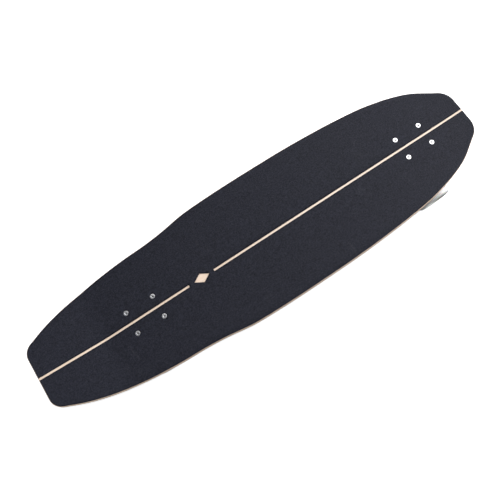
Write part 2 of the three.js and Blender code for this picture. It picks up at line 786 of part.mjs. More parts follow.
function buildHanger(hangerFrame, truckName, halfLength) {
  const { along, down } = axleInHanger;
  const taperEnd = halfLength - hangerEndLength;
  const taperStart = taperEnd - hangerTaperLength;
  const wingReach = halfLength - wingToHangerEnd;
  const ring = turnedUp(rod(ringRadius, -ringHalf, ringHalf), turnSides);
  const ringHole = turnedUp(rod(flats(ringHoleRadius, turnSides),
    -ringHalf - overrun, ringHalf + overrun), turnSides);
  const nose = turnedAlong([
    [0, noseRootStart], [noseRootRadius, noseRootStart], [noseRootRadius, noseRootEnd],
    [noseRadius, noseRootEnd + noseTaper], [noseRadius, noseEnd - noseTipChamfer],
    [noseRadius - noseTipChamfer, noseEnd], [0, noseEnd],
  ], turnSides);
  const tubeProfile = [
    [0, -halfLength], [hangerEndRadius, -halfLength],
    [hangerEndRadius, -taperEnd], [hangerTubeRadius, -taperStart],
    [hangerTubeRadius, taperStart], [hangerEndRadius, taperEnd],
    [hangerEndRadius, halfLength], [0, halfLength],
  ];
  const axleTube = turnedAcross(tubeProfile, turnSides).translate(along, 0, -down);
  const web = sidePrism([
    [webStart, ringHalf / 2], [noseRootEnd, ringHalf / 2], [noseRootEnd, -noseRootRadius],
    [along + hangerEndRadius, -down], [webStart, -down],
  ], webHalfWidth);
  const wingOutline = [
    [-wingRootReach, wingRootRise], [wingRootReach, wingRootRise],
    [wingShoulderReach, -wingShoulderDrop], [wingReach, -wingDrop], [wingReach, -down],
    [-wingReach, -down], [-wingReach, -wingDrop], [-wingShoulderReach, -wingShoulderDrop],
  ];
  const wings = sidePrism(wingOutline, webDepth / 2).rotateZ(Math.PI / 2)
    .translate(webStart + webDepth / 2, 0, 0);
  const axleBore = turnedAcross(rod(flats(axleRadius + fitGap, turnSides),
    -halfLength - overrun, halfLength + overrun), turnSides)
    .translate(along, 0, -down);
  const hanger = cut(join(ring, nose, axleTube, web, wings), ringHole, axleBore);
  piece(hangerFrame, `${truckName}_hanger`, hanger, ...castAluminium);
}

// Half of the wheel's section, from the bearing web out to the middle of the tread
const wheelHalfProfile = [
  [flats(wheelWebBoreRadius, wheelSides), wheelCoreHalfWidth - bearingWidth],
  [flats(bearingRadius, wheelSides), wheelCoreHalfWidth - bearingWidth],
  [flats(bearingRadius, wheelSides), wheelCoreHalfWidth],
  [wheelCoreRadius, wheelCoreHalfWidth],
  [wheelRecessRadius, wheelRecessWidth],
  [wheelMouthRadius, wheelHalfWidth],
  [wheelFaceRadius, wheelHalfWidth],
  [flats(wheelShoulderRadius, wheelSides), wheelShoulderWidth],
  [flats(wheelRadius, wheelSides), treadHalfWidth],
];

function buildWheel(truck, name, side, { wheelPlace, nutMiddle }) {
  const lower = wheelHalfProfile.map(([radius, place]) => [radius, -place]);
  const profile = [...lower, ...wheelHalfProfile.toReversed(), lower[0]];
  const middle = side * wheelPlace;
  piece(truck, `${name}_wheel`, turnedAcross(profile, wheelSides), ...urethane, [0, middle, 0]);

  const bore = flats(axleRadius + fitGap, bearingSides);
  const bearing = tube(bore, bearingRadius - fitGap, -bearingWidth / 2 + seatGap / 2,
    bearingWidth / 2 - seatGap / 2);
  const seat = wheelCoreHalfWidth - bearingWidth / 2;
  for (const [word, out] of [['inner', -1], ['outer', 1]]) {
    piece(truck, `${name}_${word}_bearing`, turnedAcross(bearing, bearingSides), ...steel,
      [0, middle + side * out * seat, 0]);
  }

  const nut = cut(
    turnedAcross(rod(flats(axleNutWidth / 2, 6), -axleNutHeight / 2, axleNutHeight / 2), 6),
    turnedAcross(rod(flats(axleRadius + fitGap, turnSides), -axleNutHeight, axleNutHeight),
      turnSides),
  );
  piece(truck, `${name}_axle_nut`, nut, ...darkSteel, [0, side * nutMiddle, 0]);
}

function buildTruck(board, name, place, hangerHalfLength, turned) {
  const across = acrossTruck(hangerHalfLength);
  const truck = new THREE.Group();
  truck.position.set(place, 0, wheelRadius);
  truck.rotation.z = turned ? Math.PI : 0;
  board.add(truck);

  const hangerFrame = new THREE.Group();
  hangerFrame.rotation.y = -pivotSlope;
  hangerFrame.position.set(-kingpinInboard, 0, kingpinRingRise);
  truck.add(hangerFrame);
  buildKingpinStack(hangerFrame, name);
  buildHanger(hangerFrame, name, hangerHalfLength);

  const axle = rod(axleRadius, -across.axleHalfLength, across.axleHalfLength);
  piece(truck, `${name}_axle`, turnedAcross(axle, turnSides), ...steel);
  for (const side of [-1, 1]) {
    const left = turned ? side < 0 : side > 0;
    buildWheel(truck, `${name}_${left ? 'left' : 'right'}`, side, across);
  }
  return truck;
}

const board = new THREE.Group();
buildDeck(board);
const frontTruck = buildTruck(board, 'front', frontAxlePlace, frontHangerHalfLength, false);
buildFrontBaseplate(frontTruck);
buildSwingArm(frontTruck);
const rearTruck = buildTruck(board, 'rear', rearAxlePlace, rearHangerHalfLength, true);
buildRearBaseplate(rearTruck);

// The tail's underside reaches a little past its top edge, so the whole board is centred
const extent = new THREE.Box3().setFromObject(board, true);
board.position.x = -extent.getCenter(new THREE.Vector3()).x;

export default board;
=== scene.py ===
import json
import math

import bpy
import numpy as np
from mathutils import Matrix, Vector

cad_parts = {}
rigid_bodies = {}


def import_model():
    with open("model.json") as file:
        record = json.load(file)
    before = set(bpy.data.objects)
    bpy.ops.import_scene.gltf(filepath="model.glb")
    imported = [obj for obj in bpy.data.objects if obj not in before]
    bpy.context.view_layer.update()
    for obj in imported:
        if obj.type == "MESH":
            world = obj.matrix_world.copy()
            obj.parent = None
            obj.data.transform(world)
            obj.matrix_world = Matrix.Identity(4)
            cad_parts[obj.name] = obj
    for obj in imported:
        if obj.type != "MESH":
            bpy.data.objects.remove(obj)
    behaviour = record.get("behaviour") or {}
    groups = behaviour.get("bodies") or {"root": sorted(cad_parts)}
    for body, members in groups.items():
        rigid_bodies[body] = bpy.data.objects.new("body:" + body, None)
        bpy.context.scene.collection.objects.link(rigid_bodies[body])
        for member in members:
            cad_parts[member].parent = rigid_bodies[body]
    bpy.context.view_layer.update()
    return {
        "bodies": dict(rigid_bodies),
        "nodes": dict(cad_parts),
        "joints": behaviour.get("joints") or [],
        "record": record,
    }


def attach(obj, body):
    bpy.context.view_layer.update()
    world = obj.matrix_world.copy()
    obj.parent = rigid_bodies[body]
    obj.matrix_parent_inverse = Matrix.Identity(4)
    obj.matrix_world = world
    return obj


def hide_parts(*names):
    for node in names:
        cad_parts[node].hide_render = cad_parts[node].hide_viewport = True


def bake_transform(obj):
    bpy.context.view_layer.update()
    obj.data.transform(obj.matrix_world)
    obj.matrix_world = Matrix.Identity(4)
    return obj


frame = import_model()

MM = 0.001

# Camera: it looks down on the board from its right side, turned so that the nose points to
# the upper right of the picture. The board's length climbs by board_climb in the frame.
board_top = 132.1 * MM
camera_place = Vector((-125.25 * MM, -181.13 * MM, 968.8 * MM))
camera_target = Vector((-34.1 * MM, -5.0 * MM, board_top))
board_climb = math.radians(32.92)
camera_lens = 34.56
camera_sensor = 36


def add_object(name, data):
    made = bpy.data.objects.new(name, data)
    bpy.context.scene.collection.objects.link(made)
    return made


def add_camera():
    """Turns the view about its own axis until the board's length climbs by the wanted angle."""
    view = (camera_target - camera_place).normalized()
    along = Vector((1, 0, 0))
    along = (along - view * along.dot(view)).normalized()
    beside = along.cross(view)
    right = along * math.cos(board_climb) - beside * math.sin(board_climb)
    up = right.cross(view)
    camera = add_object("photo_camera", bpy.data.cameras.new("photo_camera"))
    camera.data.lens = camera_lens
    camera.data.sensor_width = camera_sensor
    camera.data.clip_start = 10 * MM
    turn = Matrix((right, up, -view)).transposed().to_4x4()
    camera.matrix_world = Matrix.Translation(camera_place) @ turn
    bpy.context.scene.camera = camera


add_camera()

# Studio: a room that is bright towards the nose and dim elsewhere, with a large softbox above the
# nose, a small low one beyond it on the near side and a weak one behind the tail. The white
# backdrop only shows to the camera; the light from below is the sky's dimmed lower half.
sky_colour = (0.85, 0.92, 1.0, 1)
sky_bright_way = (0.82, 0.28, 0.5)
sky_by_cosine = (0.52, 0.96, 0.19, 1.85)
sky_by_height = (-0.35, 0.02, 0.5, 1)
floor_size = 12
floor_colour = (0.85, 0.85, 0.85, 1)
floor_roughness = 0.9
floor_glow = 0.6
lights_aim = 0.3
lights = {
    "nose_softbox": ((0.85, 0.35, 1.05), 2.0, 25, (1, 0.945, 0.92)),
    "tail_softbox": ((-1.0, -0.4, 0.9), 0.7, 3.2, (1, 0.91, 0.82)),
    "low_softbox": ((1.4, -0.6, 0.4), 0.4, 8, (1, 0.96, 0.93)),
}


def add_mesh(name, places, faces, smooth=True):
    mesh = bpy.data.meshes.new(name)
    mesh.from_pydata(np.asarray(places).tolist(), [], [list(face) for face in faces])
    mesh.polygons.foreach_set("use_smooth", [smooth] * len(mesh.polygons))
    return add_object(name, mesh)


class Value:
    """Wraps a shader socket, so that sums and products of values add their Math nodes."""

    def __init__(self, paint, socket):
        self.paint, self.socket = paint, socket

    def math(self, operation, *others):
        values = dict(enumerate((self, *others)))
        return self.paint.node("ShaderNodeMath", {"operation": operation}, values)[0]

    def __add__(self, other):
        return self.math("ADD", other)

    def __sub__(self, other):
        return self.math("SUBTRACT", other)

    def __mul__(self, other):
        return self.math("MULTIPLY", other)

    def __rsub__(self, other):
        return self * -1 + other

    def over(self, low, high, first=0, last=1):
        """first below low, last above high, and a smooth ramp between."""
        values = {"Value": self, "From Min": low, "From Max": high, "To Min": first,
                  "To Max": last}
        return self.paint.node("ShaderNodeMapRange", {"interpolation_type": "SMOOTHSTEP"},
                               values)[0]


class Paint:
    """One material, or the sky. node() is the only way in which it gets a node."""

    def __init__(self, name, family=bpy.data.materials, shader="Principled BSDF"):
        self.owner = family.new(name)
        self.owner.use_nodes = True
        self.nodes, self.links = self.owner.node_tree.nodes, self.owner.node_tree.links
        self.shader = self.nodes[shader]

    def node(self, kind, settings=None, values=None):
        made = self.nodes.new(kind)
        for key, setting in (settings or {}).items():
            setattr(made, key, setting)
        self.fill(made, values or {})
        return [Value(self, socket) for socket in made.outputs if socket.enabled]

    def fill(self, target, values):
        for key, value in values.items():
            socket = target.inputs[key]
            if isinstance(value, Value):
                self.links.new(value.socket, socket)
            elif socket.type == "RGBA" and len(value) == 3:
                socket.default_value = (*value, 1)
            else:
                socket.default_value = value

    def finish(self, **values):
        """Sets the shader's sockets. Base_Color stands for Base Color, and so on."""
        self.fill(self.shader, {key.replace("_", " "): value for key, value in values.items()})
        return self.owner

    def place(self, stretch=(1, 1, 1)):
        """Object coordinates in millimetres, stretched along each axis."""
        point = self.node("ShaderNodeTexCoord")[3]
        size = tuple(part / MM for part in stretch)
        return self.node("ShaderNodeMapping", {}, {"Vector": point, "Scale": size})[0]

    def noise(self, scale, detail, roughness, stretch=(1, 1, 1), **more):
        values = {"Vector": self.place(stretch), "Scale": scale, "Detail": detail,
                  "Roughness": roughness}
        return self.node("ShaderNodeTexNoise", {}, {**values, **more})[0]

    def attribute(self, name):
        return self.node("ShaderNodeAttribute", {"attribute_name": name})[2]

    def blend(self, share, first, second):
        """A colour that goes from first to second as share goes from 0 to 1."""
        values = {"Factor": share, "A": first, "B": second}
        return self.node("ShaderNodeMix", {"data_type": "RGBA"}, values)[0]

    def bump(self, height, distance, strength=1.0):
        values = {"Height": height, "Distance": distance * MM, "Strength": strength}
        return self.node("ShaderNodeBump", {}, values)[0]


def add_sky():
    """The sky's strength: a smooth rise towards sky_bright_way, times one with height."""
    sky = Paint("sky", bpy.data.worlds, "Background")
    way = sky.node("ShaderNodeTexCoord")[0]
    by_cosine, by_height = (
        sky.node("ShaderNodeVectorMath", {"operation": "DOT_PRODUCT"},
                 {0: way, 1: Vector(axis).normalized()})[0].over(*limits)
        for axis, limits in ((sky_bright_way, sky_by_cosine), ((0, 0, 1), sky_by_height)))
    bpy.context.scene.world = sky.finish(Color=sky_colour, Strength=by_cosine * by_height)


def add_studio():
    bpy.context.scene.view_settings.view_transform = "Standard"
    for name, (place, size, power, colour) in lights.items():
        lamp = add_object(name, bpy.data.lights.new(name, "AREA"))
        lamp.data.size = size
        lamp.data.energy = power
        lamp.data.color = colour
        lamp.location = place
        lamp.visible_camera = False
        aim = Vector((lights_aim * place[0], 0, board_top)) - lamp.location
        lamp.rotation_euler = aim.to_track_quat("-Z", "Y").to_euler()
    half = floor_size / 2
    corners = [(-half, -half, 0), (half, -half, 0), (half, half, 0), (-half, half, 0)]
    floor = add_mesh("studio_floor", corners, [(0, 1, 2, 3)], smooth=False)
    floor.data.materials.append(Paint("floor_paper").finish(
        Base_Color=floor_colour, Roughness=floor_roughness, Emission_Color=(1, 1, 1, 1),
        Emission_Strength=floor_glow))
    floor.visible_diffuse = floor.visible_glossy = floor.visible_transmission = False


add_sky()
add_studio()

# Deck: seven sheets of hard maple pressed into a mould that gives the kicked tail, the slight
# nose rise and the concave, then sawn to its outline and rounded over along both edges.
# Long-grain and cross-grain sheets alternate, so the edge shows light and dark lines.
deck_length = 901 * MM
deck_half_width = 122.6 * MM
deck_thickness = 11 * MM
deck_underside = 120 * MM
deck_shift = 0.698 * MM
end_shapes = {"tail": (38 * MM, 25 * MM, math.radians(69)),
              "nose": (25 * MM, 35 * MM, math.radians(58))}
kick_start = -316 * MM
kick_bend = 28 * MM
kick_slope = 0.198
nose_rise_start = 376 * MM
nose_rise = 2.5 * MM
flat_half_width = 28 * MM
concave_rise = 5.7 * MM
concave_span = 97 * MM
edge_rounds = (1.2 * MM, 2.5 * MM)
crisp_from = math.radians(32)
sheet_count = 7
joint_half = 0.08
rail_shares = [
    (0.0542, 0.615), (0.0987, 0.715), (0.1543, 0.7955), (0.1988, 0.8376), (0.2432, 0.864),
    (0.2877, 0.879), (0.3321, 0.911), (0.3655, 0.95), (0.3877, 0.972), (0.4211, 0.987),
    (0.4878, 0.999), (0.5545, 1), (0.6211, 0.996), (0.6878, 0.9786), (0.7545, 0.947),
    (0.8212, 0.896), (0.8545, 0.85), (0.8879, 0.791), (0.9324, 0.673),
]


def deck_surface(x, y):
    """Height of the deck's top over its flat middle, and its slopes along and across.

    The tail rises on a parabola, then a straight ramp; the nose and the concave on parabolas.
    """
    past_kick = np.maximum(0, kick_start - x)
    in_bend = np.minimum(past_kick, kick_bend)
    past_rise = np.maximum(0, x - nose_rise_start)
    rise_span = deck_length / 2 - nose_rise_start
    past_flat = np.maximum(0, abs(y) - flat_half_width)
    height = kick_slope * (past_kick - in_bend + in_bend**2 / (2 * kick_bend))
    height = height + nose_rise * (past_rise / rise_span) ** 2
    height = height + concave_rise * (past_flat / concave_span) ** 2
    slope_along = 2 * nose_rise * past_rise / rise_span**2 - kick_slope * in_bend / kick_bend
    slope_across = np.sign(y) * 2 * concave_rise * past_flat / concave_span**2
    return height, slope_along, slope_across


def smooth_through(points, count):
    """A centripetal Catmull-Rom curve through the points, cut into equal lengths.

    Knots lie apart by the square root of each gap. Lines between neighbours are mixed in pairs
    by where t lies between their knots, until one curve is left.
    """
    points = np.array(points, float)
    padded = np.vstack([2 * points[0] - points[1], points, 2 * points[-1] - points[-2]])
    gaps = np.sqrt(np.linalg.norm(np.diff(padded, axis=0), axis=1))
    knots = np.concatenate([[0], np.cumsum(gaps)])
    t = np.linspace(knots[1], knots[-2], 40 * len(points))
    seg = np.clip(np.searchsorted(knots, t, side="right") - 1, 1, len(padded) - 3)
    knot = {k: knots[seg + k][:, None] for k in (-1, 0, 1, 2)}
    t = t[:, None]
    curves = [padded[seg + k] for k in knot]
    for spans in (((-1, 0), (0, 1), (1, 2)), ((-1, 1), (0, 2)), ((0, 1),)):
        curves = [(a * (knot[j] - t) + b * (t - knot[i])) / (knot[j] - knot[i])
                  for a, b, (i, j) in zip(curves, curves[1:], spans)]
    curve = curves[0]
    reach = np.concatenate([[0], np.cumsum(np.linalg.norm(np.diff(curve, axis=0), axis=1))])
    even = np.linspace(0, reach[-1], count)
    return np.stack([np.interp(even, reach, curve[:, k]) for k in (0, 1)], axis=1)


def end_arc(half_width, corner, arc, count=12):
    """A rounded corner of the outline, from the end's flat on: (place, half width) pairs."""
    turn = np.linspace(0, arc, count)
    return np.stack([deck_length / 2 - corner * (1 - np.cos(turn)),
                     half_width + corner * np.sin(turn)], axis=1)


def deck_outline(rail_count=220):
    """Places along the board and half widths, from the tail's end to the nose's end."""
    end = deck_length / 2
    tail = end_arc(*end_shapes["tail"]) * (-1, 1)
    nose = end_arc(*end_shapes["nose"])[::-1]
    rail = np.array(rail_shares) * (deck_length, deck_half_width) - (end, 0)
    curve = smooth_through([tail[-1], *rail, nose[0]], rail_count)
    return np.vstack([tail[:-1], curve, nose[1:]])


def deck_shell(name, edge, across=28):
    """A closed shell on the deck's surface: a grid above, a grid below and rings round the rim.

    edge lists (inset from the outline, depth below the deck's top) from top to underside.
    """
    outline = deck_outline()
    rows = len(outline)
    share = np.linspace(-1, 1, across + 1)
    plan_x = np.repeat(outline[:, :1], across + 1, axis=1)
    plan_y = outline[:, 1:] * share
    index = np.arange(rows * (across + 1)).reshape(rows, across + 1)
    rim = np.concatenate([index[:-1, 0], index[-1, :-1], index[:0:-1, -1], index[0, :0:-1]])
    rim_plan = np.stack([plan_x.ravel()[rim], plan_y.ravel()[rim]], axis=1)
    tangent = np.roll(rim_plan, -1, axis=0) - np.roll(rim_plan, 1, axis=0)
    inward = np.stack([-tangent[:, 1], tangent[:, 0]], axis=1)
    inward /= np.linalg.norm(inward, axis=1)[:, None]

    def lifted(x, y, depth):
        height, along, sideways = deck_surface(x, y)
        lean = depth / np.sqrt(1 + along**2 + sideways**2)
        base = deck_underside + deck_thickness + height
        return np.stack([x + along * lean + deck_shift, y + sideways * lean, base - lean], -1)

    def face(inset, depth):
        moved = rim_plan + inward * inset
        x, y = plan_x.copy(), plan_y.copy()
        x.ravel()[rim] = moved[:, 0]
        y.ravel()[rim] = moved[:, 1]
        x[:, 1:-1] = x[:, :1]
        y[1:-1] = y[1:-1, -1:] * share
        x[0, 1:-1], x[-1, 1:-1] = moved[-1, 0], moved[rows - 1 + across // 2, 0]
        return lifted(x, y, depth).reshape(-1, 3)

    rings = [lifted(*(rim_plan + inward * inset).T, depth) for inset, depth in edge[1:-1]]
    levels = [face(*edge[0]), *rings, face(*edge[-1])]
    starts = np.cumsum([0, *map(len, levels)])
    depths = np.repeat([depth for _, depth in edge], np.diff(starts))
    quads = np.stack([index[:-1, :-1], index[1:, :-1], index[1:, 1:], index[:-1, 1:]], -1)
    quads = quads.reshape(-1, 4)
    last = starts[-2]
    loops = [rim, *[start + np.arange(len(rim)) for start in starts[1:-2]], last + rim]
    walls = [np.stack([np.roll(a, -1), a, b, np.roll(b, -1)], -1)
             for a, b in zip(loops, loops[1:])]
    faces = np.vstack([quads, quads[:, ::-1] + last, *walls])
    piece = add_mesh(name, np.vstack(levels), faces)
    attribute = piece.data.attributes.new("ply_depth", "FLOAT", "POINT")
    attribute.data.foreach_set("value", depths / MM)
    return piece


def wood(paint, light, dark):
    """Maple's colour and relief: long faint bands, fine streaks and short dark pores."""
    bands = paint.noise(1.0, 3, 0.55, (0.0022, 0.05, 0.05), Distortion=0.6)
    streaks = paint.noise(1.0, 4, 0.6, (0.012, 0.9, 0.9))
    pores = paint.noise(1.0, 2, 0.5, (0.09, 2.6, 2.6)).over(0.62, 0.72)
    share = bands.over(0.3, 0.7) * 0.45 + streaks * 0.5 + pores * 0.22
    return paint.blend(share, light, dark), pores, streaks


def maple_ply():
    """Seven sheets by depth: 1, 2, 4, 6 and 7 run lengthwise, 3 and 5 crosswise.

    Each crosswise sheet ramps in over its own depth, and every joint has a dark glue line.
    """
    paint = Paint("maple_ply")
    depth = paint.attribute("ply_depth")
    face, pores, streaks = wood(paint, (0.84, 0.70, 0.57), (0.66, 0.49, 0.36))
    end_grain = paint.noise(1.0, 3, 0.6, (0.8, 0.8, 3.0))
    cross = paint.blend(end_grain, (0.42, 0.26, 0.16), (0.60, 0.42, 0.28))
    sheet = deck_thickness / MM / sheet_count
    in_cross = 0
    glue = 0
    for first in (2, 4):
        rise, fall = (depth.over(line * sheet - joint_half, line * sheet + joint_half)
                      for line in (first, first + 1))
        in_cross = rise - fall + in_cross
    for line in range(1, sheet_count):
        away = (depth - line * sheet).math("ABSOLUTE")
        glue = 1 - away.over(0.06, 0.2) + glue
    colour = paint.blend(in_cross, face, cross)
    colour = paint.blend(glue * 0.65, colour, (0.25, 0.15, 0.09))
    relief = paint.bump(pores * -0.6 + streaks * 0.4 + glue * -0.5, 0.05)
    return paint.finish(Base_Color=colour, Roughness=streaks * 0.12 + 0.34, Normal=relief,
                        Coat_Weight=0.35, Coat_Roughness=0.2)


def rounded_edge(thickness, upper_radius, lower_radius, steps=5):
    """(inset, depth) pairs round a rim: a quarter turn, the flat side, another quarter."""
    turn = np.linspace(0, math.pi / 2, steps)
    quarter = np.stack([1 - np.sin(turn), 1 - np.cos(turn)], axis=1)
    return np.vstack([upper_radius * quarter,
                      (0, thickness) + lower_radius * quarter[::-1] * (1, -1)])


def fit_out(piece, node, body, slot, *materials, crisp=True):
    """Gives a piece its materials and crisp edges, and lets it stand for a node on a body. Where
    body is a tuple, the piece is not hung on a body: its place is baked into its mesh.
    """
    for material in materials:
        piece.data.materials.append(material)
    if crisp:
        piece.data.set_sharp_from_angle(angle=crisp_from)
    if node:
        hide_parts(node)
    if isinstance(body, tuple):
        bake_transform(piece)
    else:
        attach(piece, body)
    return piece


deck = deck_shell("board_deck", rounded_edge(deck_thickness, *edge_rounds))
fit_out(deck, "deck", "deck_assembly", "maple", maple_ply(), crisp=False)

# Grip tape: coarse black grit on a film, stuck down and trimmed just inside the board's rounded
# edge. Two slits along the middle and a lozenge between them leave the bare wood showing.
grip_thickness = 1.1 * MM
grip_inset = 1.0 * MM
slit_width = 4 * MM
slits = [(-460 * MM, -159.2 * MM), (-107.8 * MM, 460 * MM)]
lozenge_centre = -133.5 * MM
lozenge_length = 31 * MM
lozenge_width = 18 * MM
bolt_patterns = {"front": 336 * MM, "rear": -251 * MM}
bolt_along = 53.98 * MM / 2
bolt_across = 41.28 * MM / 2
head_hole = 4.55 * MM


def bolt_places():
    return {f"{truck}_{side}_{end}": (middle + deck_shift + fore * bolt_along, out * bolt_across)
            for truck, middle in bolt_patterns.items()
            for side, out in (("left", 1), ("right", -1))
            for end, fore in (("nose", 1), ("tail", -1))}


def bands(near):
    """Quads between rows of point numbers, where each row is a ring."""
    far = np.roll(near, -1, axis=1)
    return np.stack([near[:-1], far[:-1], far[1:], near[1:]], -1).reshape(-1, 4).tolist()


def stacked(rings):
    """A closed shell through rings of points that run anticlockwise, from low to high."""
    near = np.arange(len(rings) * len(rings[0])).reshape(len(rings), -1)
    return np.vstack(rings), [near[0, ::-1].tolist(), near[-1].tolist(), *bands(near)]


def upright(outline, low, high):
    """A prism over an outline of (x, y) points that runs anticlockwise."""
    return stacked([np.column_stack([outline, np.full(len(outline), height)])
                    for height in (low, high)])


def merge(shapes):
    places, faces, start = [], [], 0
    for some_places, some_faces in shapes:
        places.extend(np.asarray(some_places).tolist())
        faces.extend([[int(corner) + start for corner in face] for face in some_faces])
        start = len(places)
    return places, faces


def apply_modifiers(piece):
    view = bpy.context.evaluated_depsgraph_get()
    view.update()
    mesh = bpy.data.meshes.new_from_object(piece.evaluated_get(view))
    piece.modifiers.clear()
    old = piece.data
    piece.data = mesh
    bpy.data.meshes.remove(old)
    mesh.name = piece.name
    return piece


def carve(piece, shapes, solver="EXACT", material=0):
    """Cuts closed shapes out of a piece; the cut faces take the piece's material-th material."""
    cutter = add_mesh("cutter", *merge(shapes), smooth=False)
    for own in piece.data.materials:
        cutter.data.materials.append(own)
    faces = cutter.data.polygons
    faces.foreach_set("material_index", [material] * len(faces))
    modifier = piece.modifiers.new("cut", "BOOLEAN")
    modifier.operation, modifier.object, modifier.solver = "DIFFERENCE", cutter, solver
    apply_modifiers(piece)
    bpy.data.objects.remove(cutter)
    return piece


def circle(radius, centre=(0, 0), count=40):
    turn = np.arange(count) * 2 * math.pi / count
    return np.stack([centre[0] + radius * np.cos(turn), centre[1] + radius * np.sin(turn)], -1)


def grip_cutters():
    low, high = deck_underside, deck_underside + 3 * deck_thickness + 50 * MM
    half = slit_width / 2
    shapes = [upright([(a, -half), (b, -half), (b, half), (a, half)], low, high)
              for a, b in slits]
    middle = lozenge_centre + deck_shift
    shapes.append(upright([
        (middle - lozenge_length / 2, 0), (middle, -lozenge_width / 2),
        (middle + lozenge_length / 2, 0), (middle, lozenge_width / 2)], low, high))
    shapes += [upright(circle(head_hole, place), low, high) for place in bolt_places().values()]
    return shapes


def grip_grit():
    """Black mineral grit: sharp grains, some of them pale, dusty scuffs and a blue cast."""
    paint = Paint("grip_grit")
    coarse, shade, _ = paint.node("ShaderNodeTexVoronoi", {"feature": "F1"},
                                  {"Vector": paint.place(), "Scale": 1.9})
    pale_grain = shade.over(0.62, 0.85)
    fine = paint.noise(3.6, 3, 0.7)
    cast = paint.noise(0.006, 2, 0.5)
    mottle = paint.noise(0.42, 3, 0.7).over(0.3, 0.7)
    sparkle = paint.noise(2.4, 1, 0.4).over(0.68, 0.8)
    scuff = paint.noise(0.028, 5, 0.7, (1, 0.35, 1)).over(0.6, 0.8)
    colour = paint.blend(cast, (0.0020, 0.0024, 0.0046), (0.0028, 0.0035, 0.0085))
    colour = paint.blend(mottle, colour, (0.0148, 0.0162, 0.0265))
    colour = paint.blend(scuff * 0.2, colour, (0.06, 0.062, 0.075))
    colour = paint.blend(pale_grain * 0.4, colour, (0.042, 0.045, 0.056))
    colour = paint.blend(sparkle * 0.4, colour, (0.10, 0.105, 0.12))
    height = coarse * -0.8 + fine * 0.9
    return paint.finish(Base_Color=colour, Roughness=0.68 - sparkle * 0.2,
                        Normal=paint.bump(height, 0.3, 0.8), Specular_IOR_Level=0.17)


grip_round = (0.3 * MM, 0.35 * MM)
grip_sink = 0.02 * MM
grip_edge = [(grip_inset + grip_round[0], -grip_thickness),
             (grip_inset, grip_round[1] - grip_thickness), (grip_inset, -grip_round[0]),
             (grip_inset, grip_sink)]
grip = carve(deck_shell("grip_sheet", grip_edge), grip_cutters())
fit_out(grip, "grip_tape", "deck_assembly", "grip", grip_grit(), crisp=False)

# Truck bolts: zinc-plated countersunk screws with a hex socket in the head. Each is drawn down
# until its head lies just below the grit, and runs through deck, riser, baseplate and lock nut.
bolt_head = 4.3 * MM
bolt_shank = 2.4 * MM
bolt_top = 131.9 * MM
bolt_rim = 0.5 * MM
bolt_socket = 1.6 * MM
bolt_socket_depth = 2.2 * MM
# Depth of the top of the near-black fill that paints shade in each bolt's socket.
bolt_shade_top = 1.2 * MM
bolt_pitch = 0.8 * MM
bolt_thread = 16 * MM
plate_underside = {"front": 110.1 * MM, "rear": 101.1 * MM}
nut_height = 4 * MM
nut_collar = 1.5 * MM
bolt_past_nut = 2.4 * MM
bolt_thread_start = 0.4 * MM
bolt_thread_depth = 0.3 * MM
round_sides = 48
flat_by_corner = math.cos(math.pi / 6)


def eased(profile, size, steps=3):
    """A profile with each corner replaced by a small curve, a quadratic Bezier."""
    profile = np.array(profile, float)
    closed = np.allclose(profile[0], profile[-1])
    if closed:
        profile = profile[:-1]
    t = np.linspace(0, 1, steps + 1)[:, None]
    parts = []
    for k, corner in enumerate(profile):
        if not closed and k in (0, len(profile) - 1):
            parts.append(corner[None])
            continue
        ways = [profile[k - 1] - corner, profile[(k + 1) % len(profile)] - corner]
        start, end = (corner + way * min(size / np.linalg.norm(way), 0.45) for way in ways)
        parts.append((1 - t) ** 2 * start + 2 * t * (1 - t) * corner + t**2 * end)
    if closed:
        parts.append(parts[0][:1])
    return np.vstack(parts)


def ringed(profile, start, end, step):
    """The profile with extra rings, a step apart in height, between two heights."""
    profile = np.array(profile, float)
    heights = np.arange(start, end, step)
    rows = [profile[:1]]
    for a, b in zip(profile, profile[1:]):
        low, high = sorted((a[1], b[1]))
        between = heights[(heights > low + step / 9) & (heights < high - step / 9)]
        if a[1] > b[1]:
            between = between[::-1]
        share = (between - a[1]) / (b[1] - a[1]) if len(between) else between
        rows += [a + (b - a) * share[:, None], b[None]]
    return np.vstack(rows)


def turned(profile, hexagon=None, thread=None, sides=round_sides):
    """A closed surface of revolution about Z through (radius, height) rings.

    hexagon is half the width over flats: rings inside its corners are cut down to
    hexagon / cos(angle within one flat). thread is (radius, start, end, pitch, depth): there
    the radius loses depth times a triangle wave of height / pitch - turn / 2 pi. The profile
    starts and ends on the axis, or closes on itself.
    """
    profile = np.array(profile, float)
    poles = profile[0, 0] == 0
    rings = profile[1:-1] if poles else profile[:-1]
    turn = np.arange(sides) * 2 * math.pi / sides
    radius = np.repeat(rings[:, :1], sides, axis=1)
    height = np.repeat(rings[:, 1:], sides, axis=1)
    if hexagon:
        flat = hexagon / np.cos((turn + math.pi / 6) % (math.pi / 3) - math.pi / 6)
        inside = radius < 1.01 * hexagon / flat_by_corner
        radius = np.where(inside, np.minimum(radius, flat), radius)
    if thread:
        middle, start, end, pitch, depth = thread
        wave = abs((height / pitch - turn / (2 * math.pi)) % 1 - 0.5) * 2
        inside = (abs(radius - middle) < 0.01 * MM) & (height > start) & (height < end)
        radius = radius - depth * wave * inside
    places = np.stack([radius * np.cos(turn), radius * np.sin(turn), height], -1).reshape(-1, 3)
    near = np.arange(len(places)).reshape(len(rings), sides)
    if not poles:
        near = np.vstack([near, near[:1]])
    faces = bands(near)
    if poles:
        low = len(places)
        places = np.vstack([places, (0, 0, profile[0, 1]), (0, 0, profile[-1, 1])])
        first, last = near[[0, -1]].tolist()
        faces += [[low, b, a] for a, b in zip(first, first[1:] + first[:1])]
        faces += [[a, b, low + 1] for a, b in zip(last, last[1:] + last[:1])]
    return places, faces


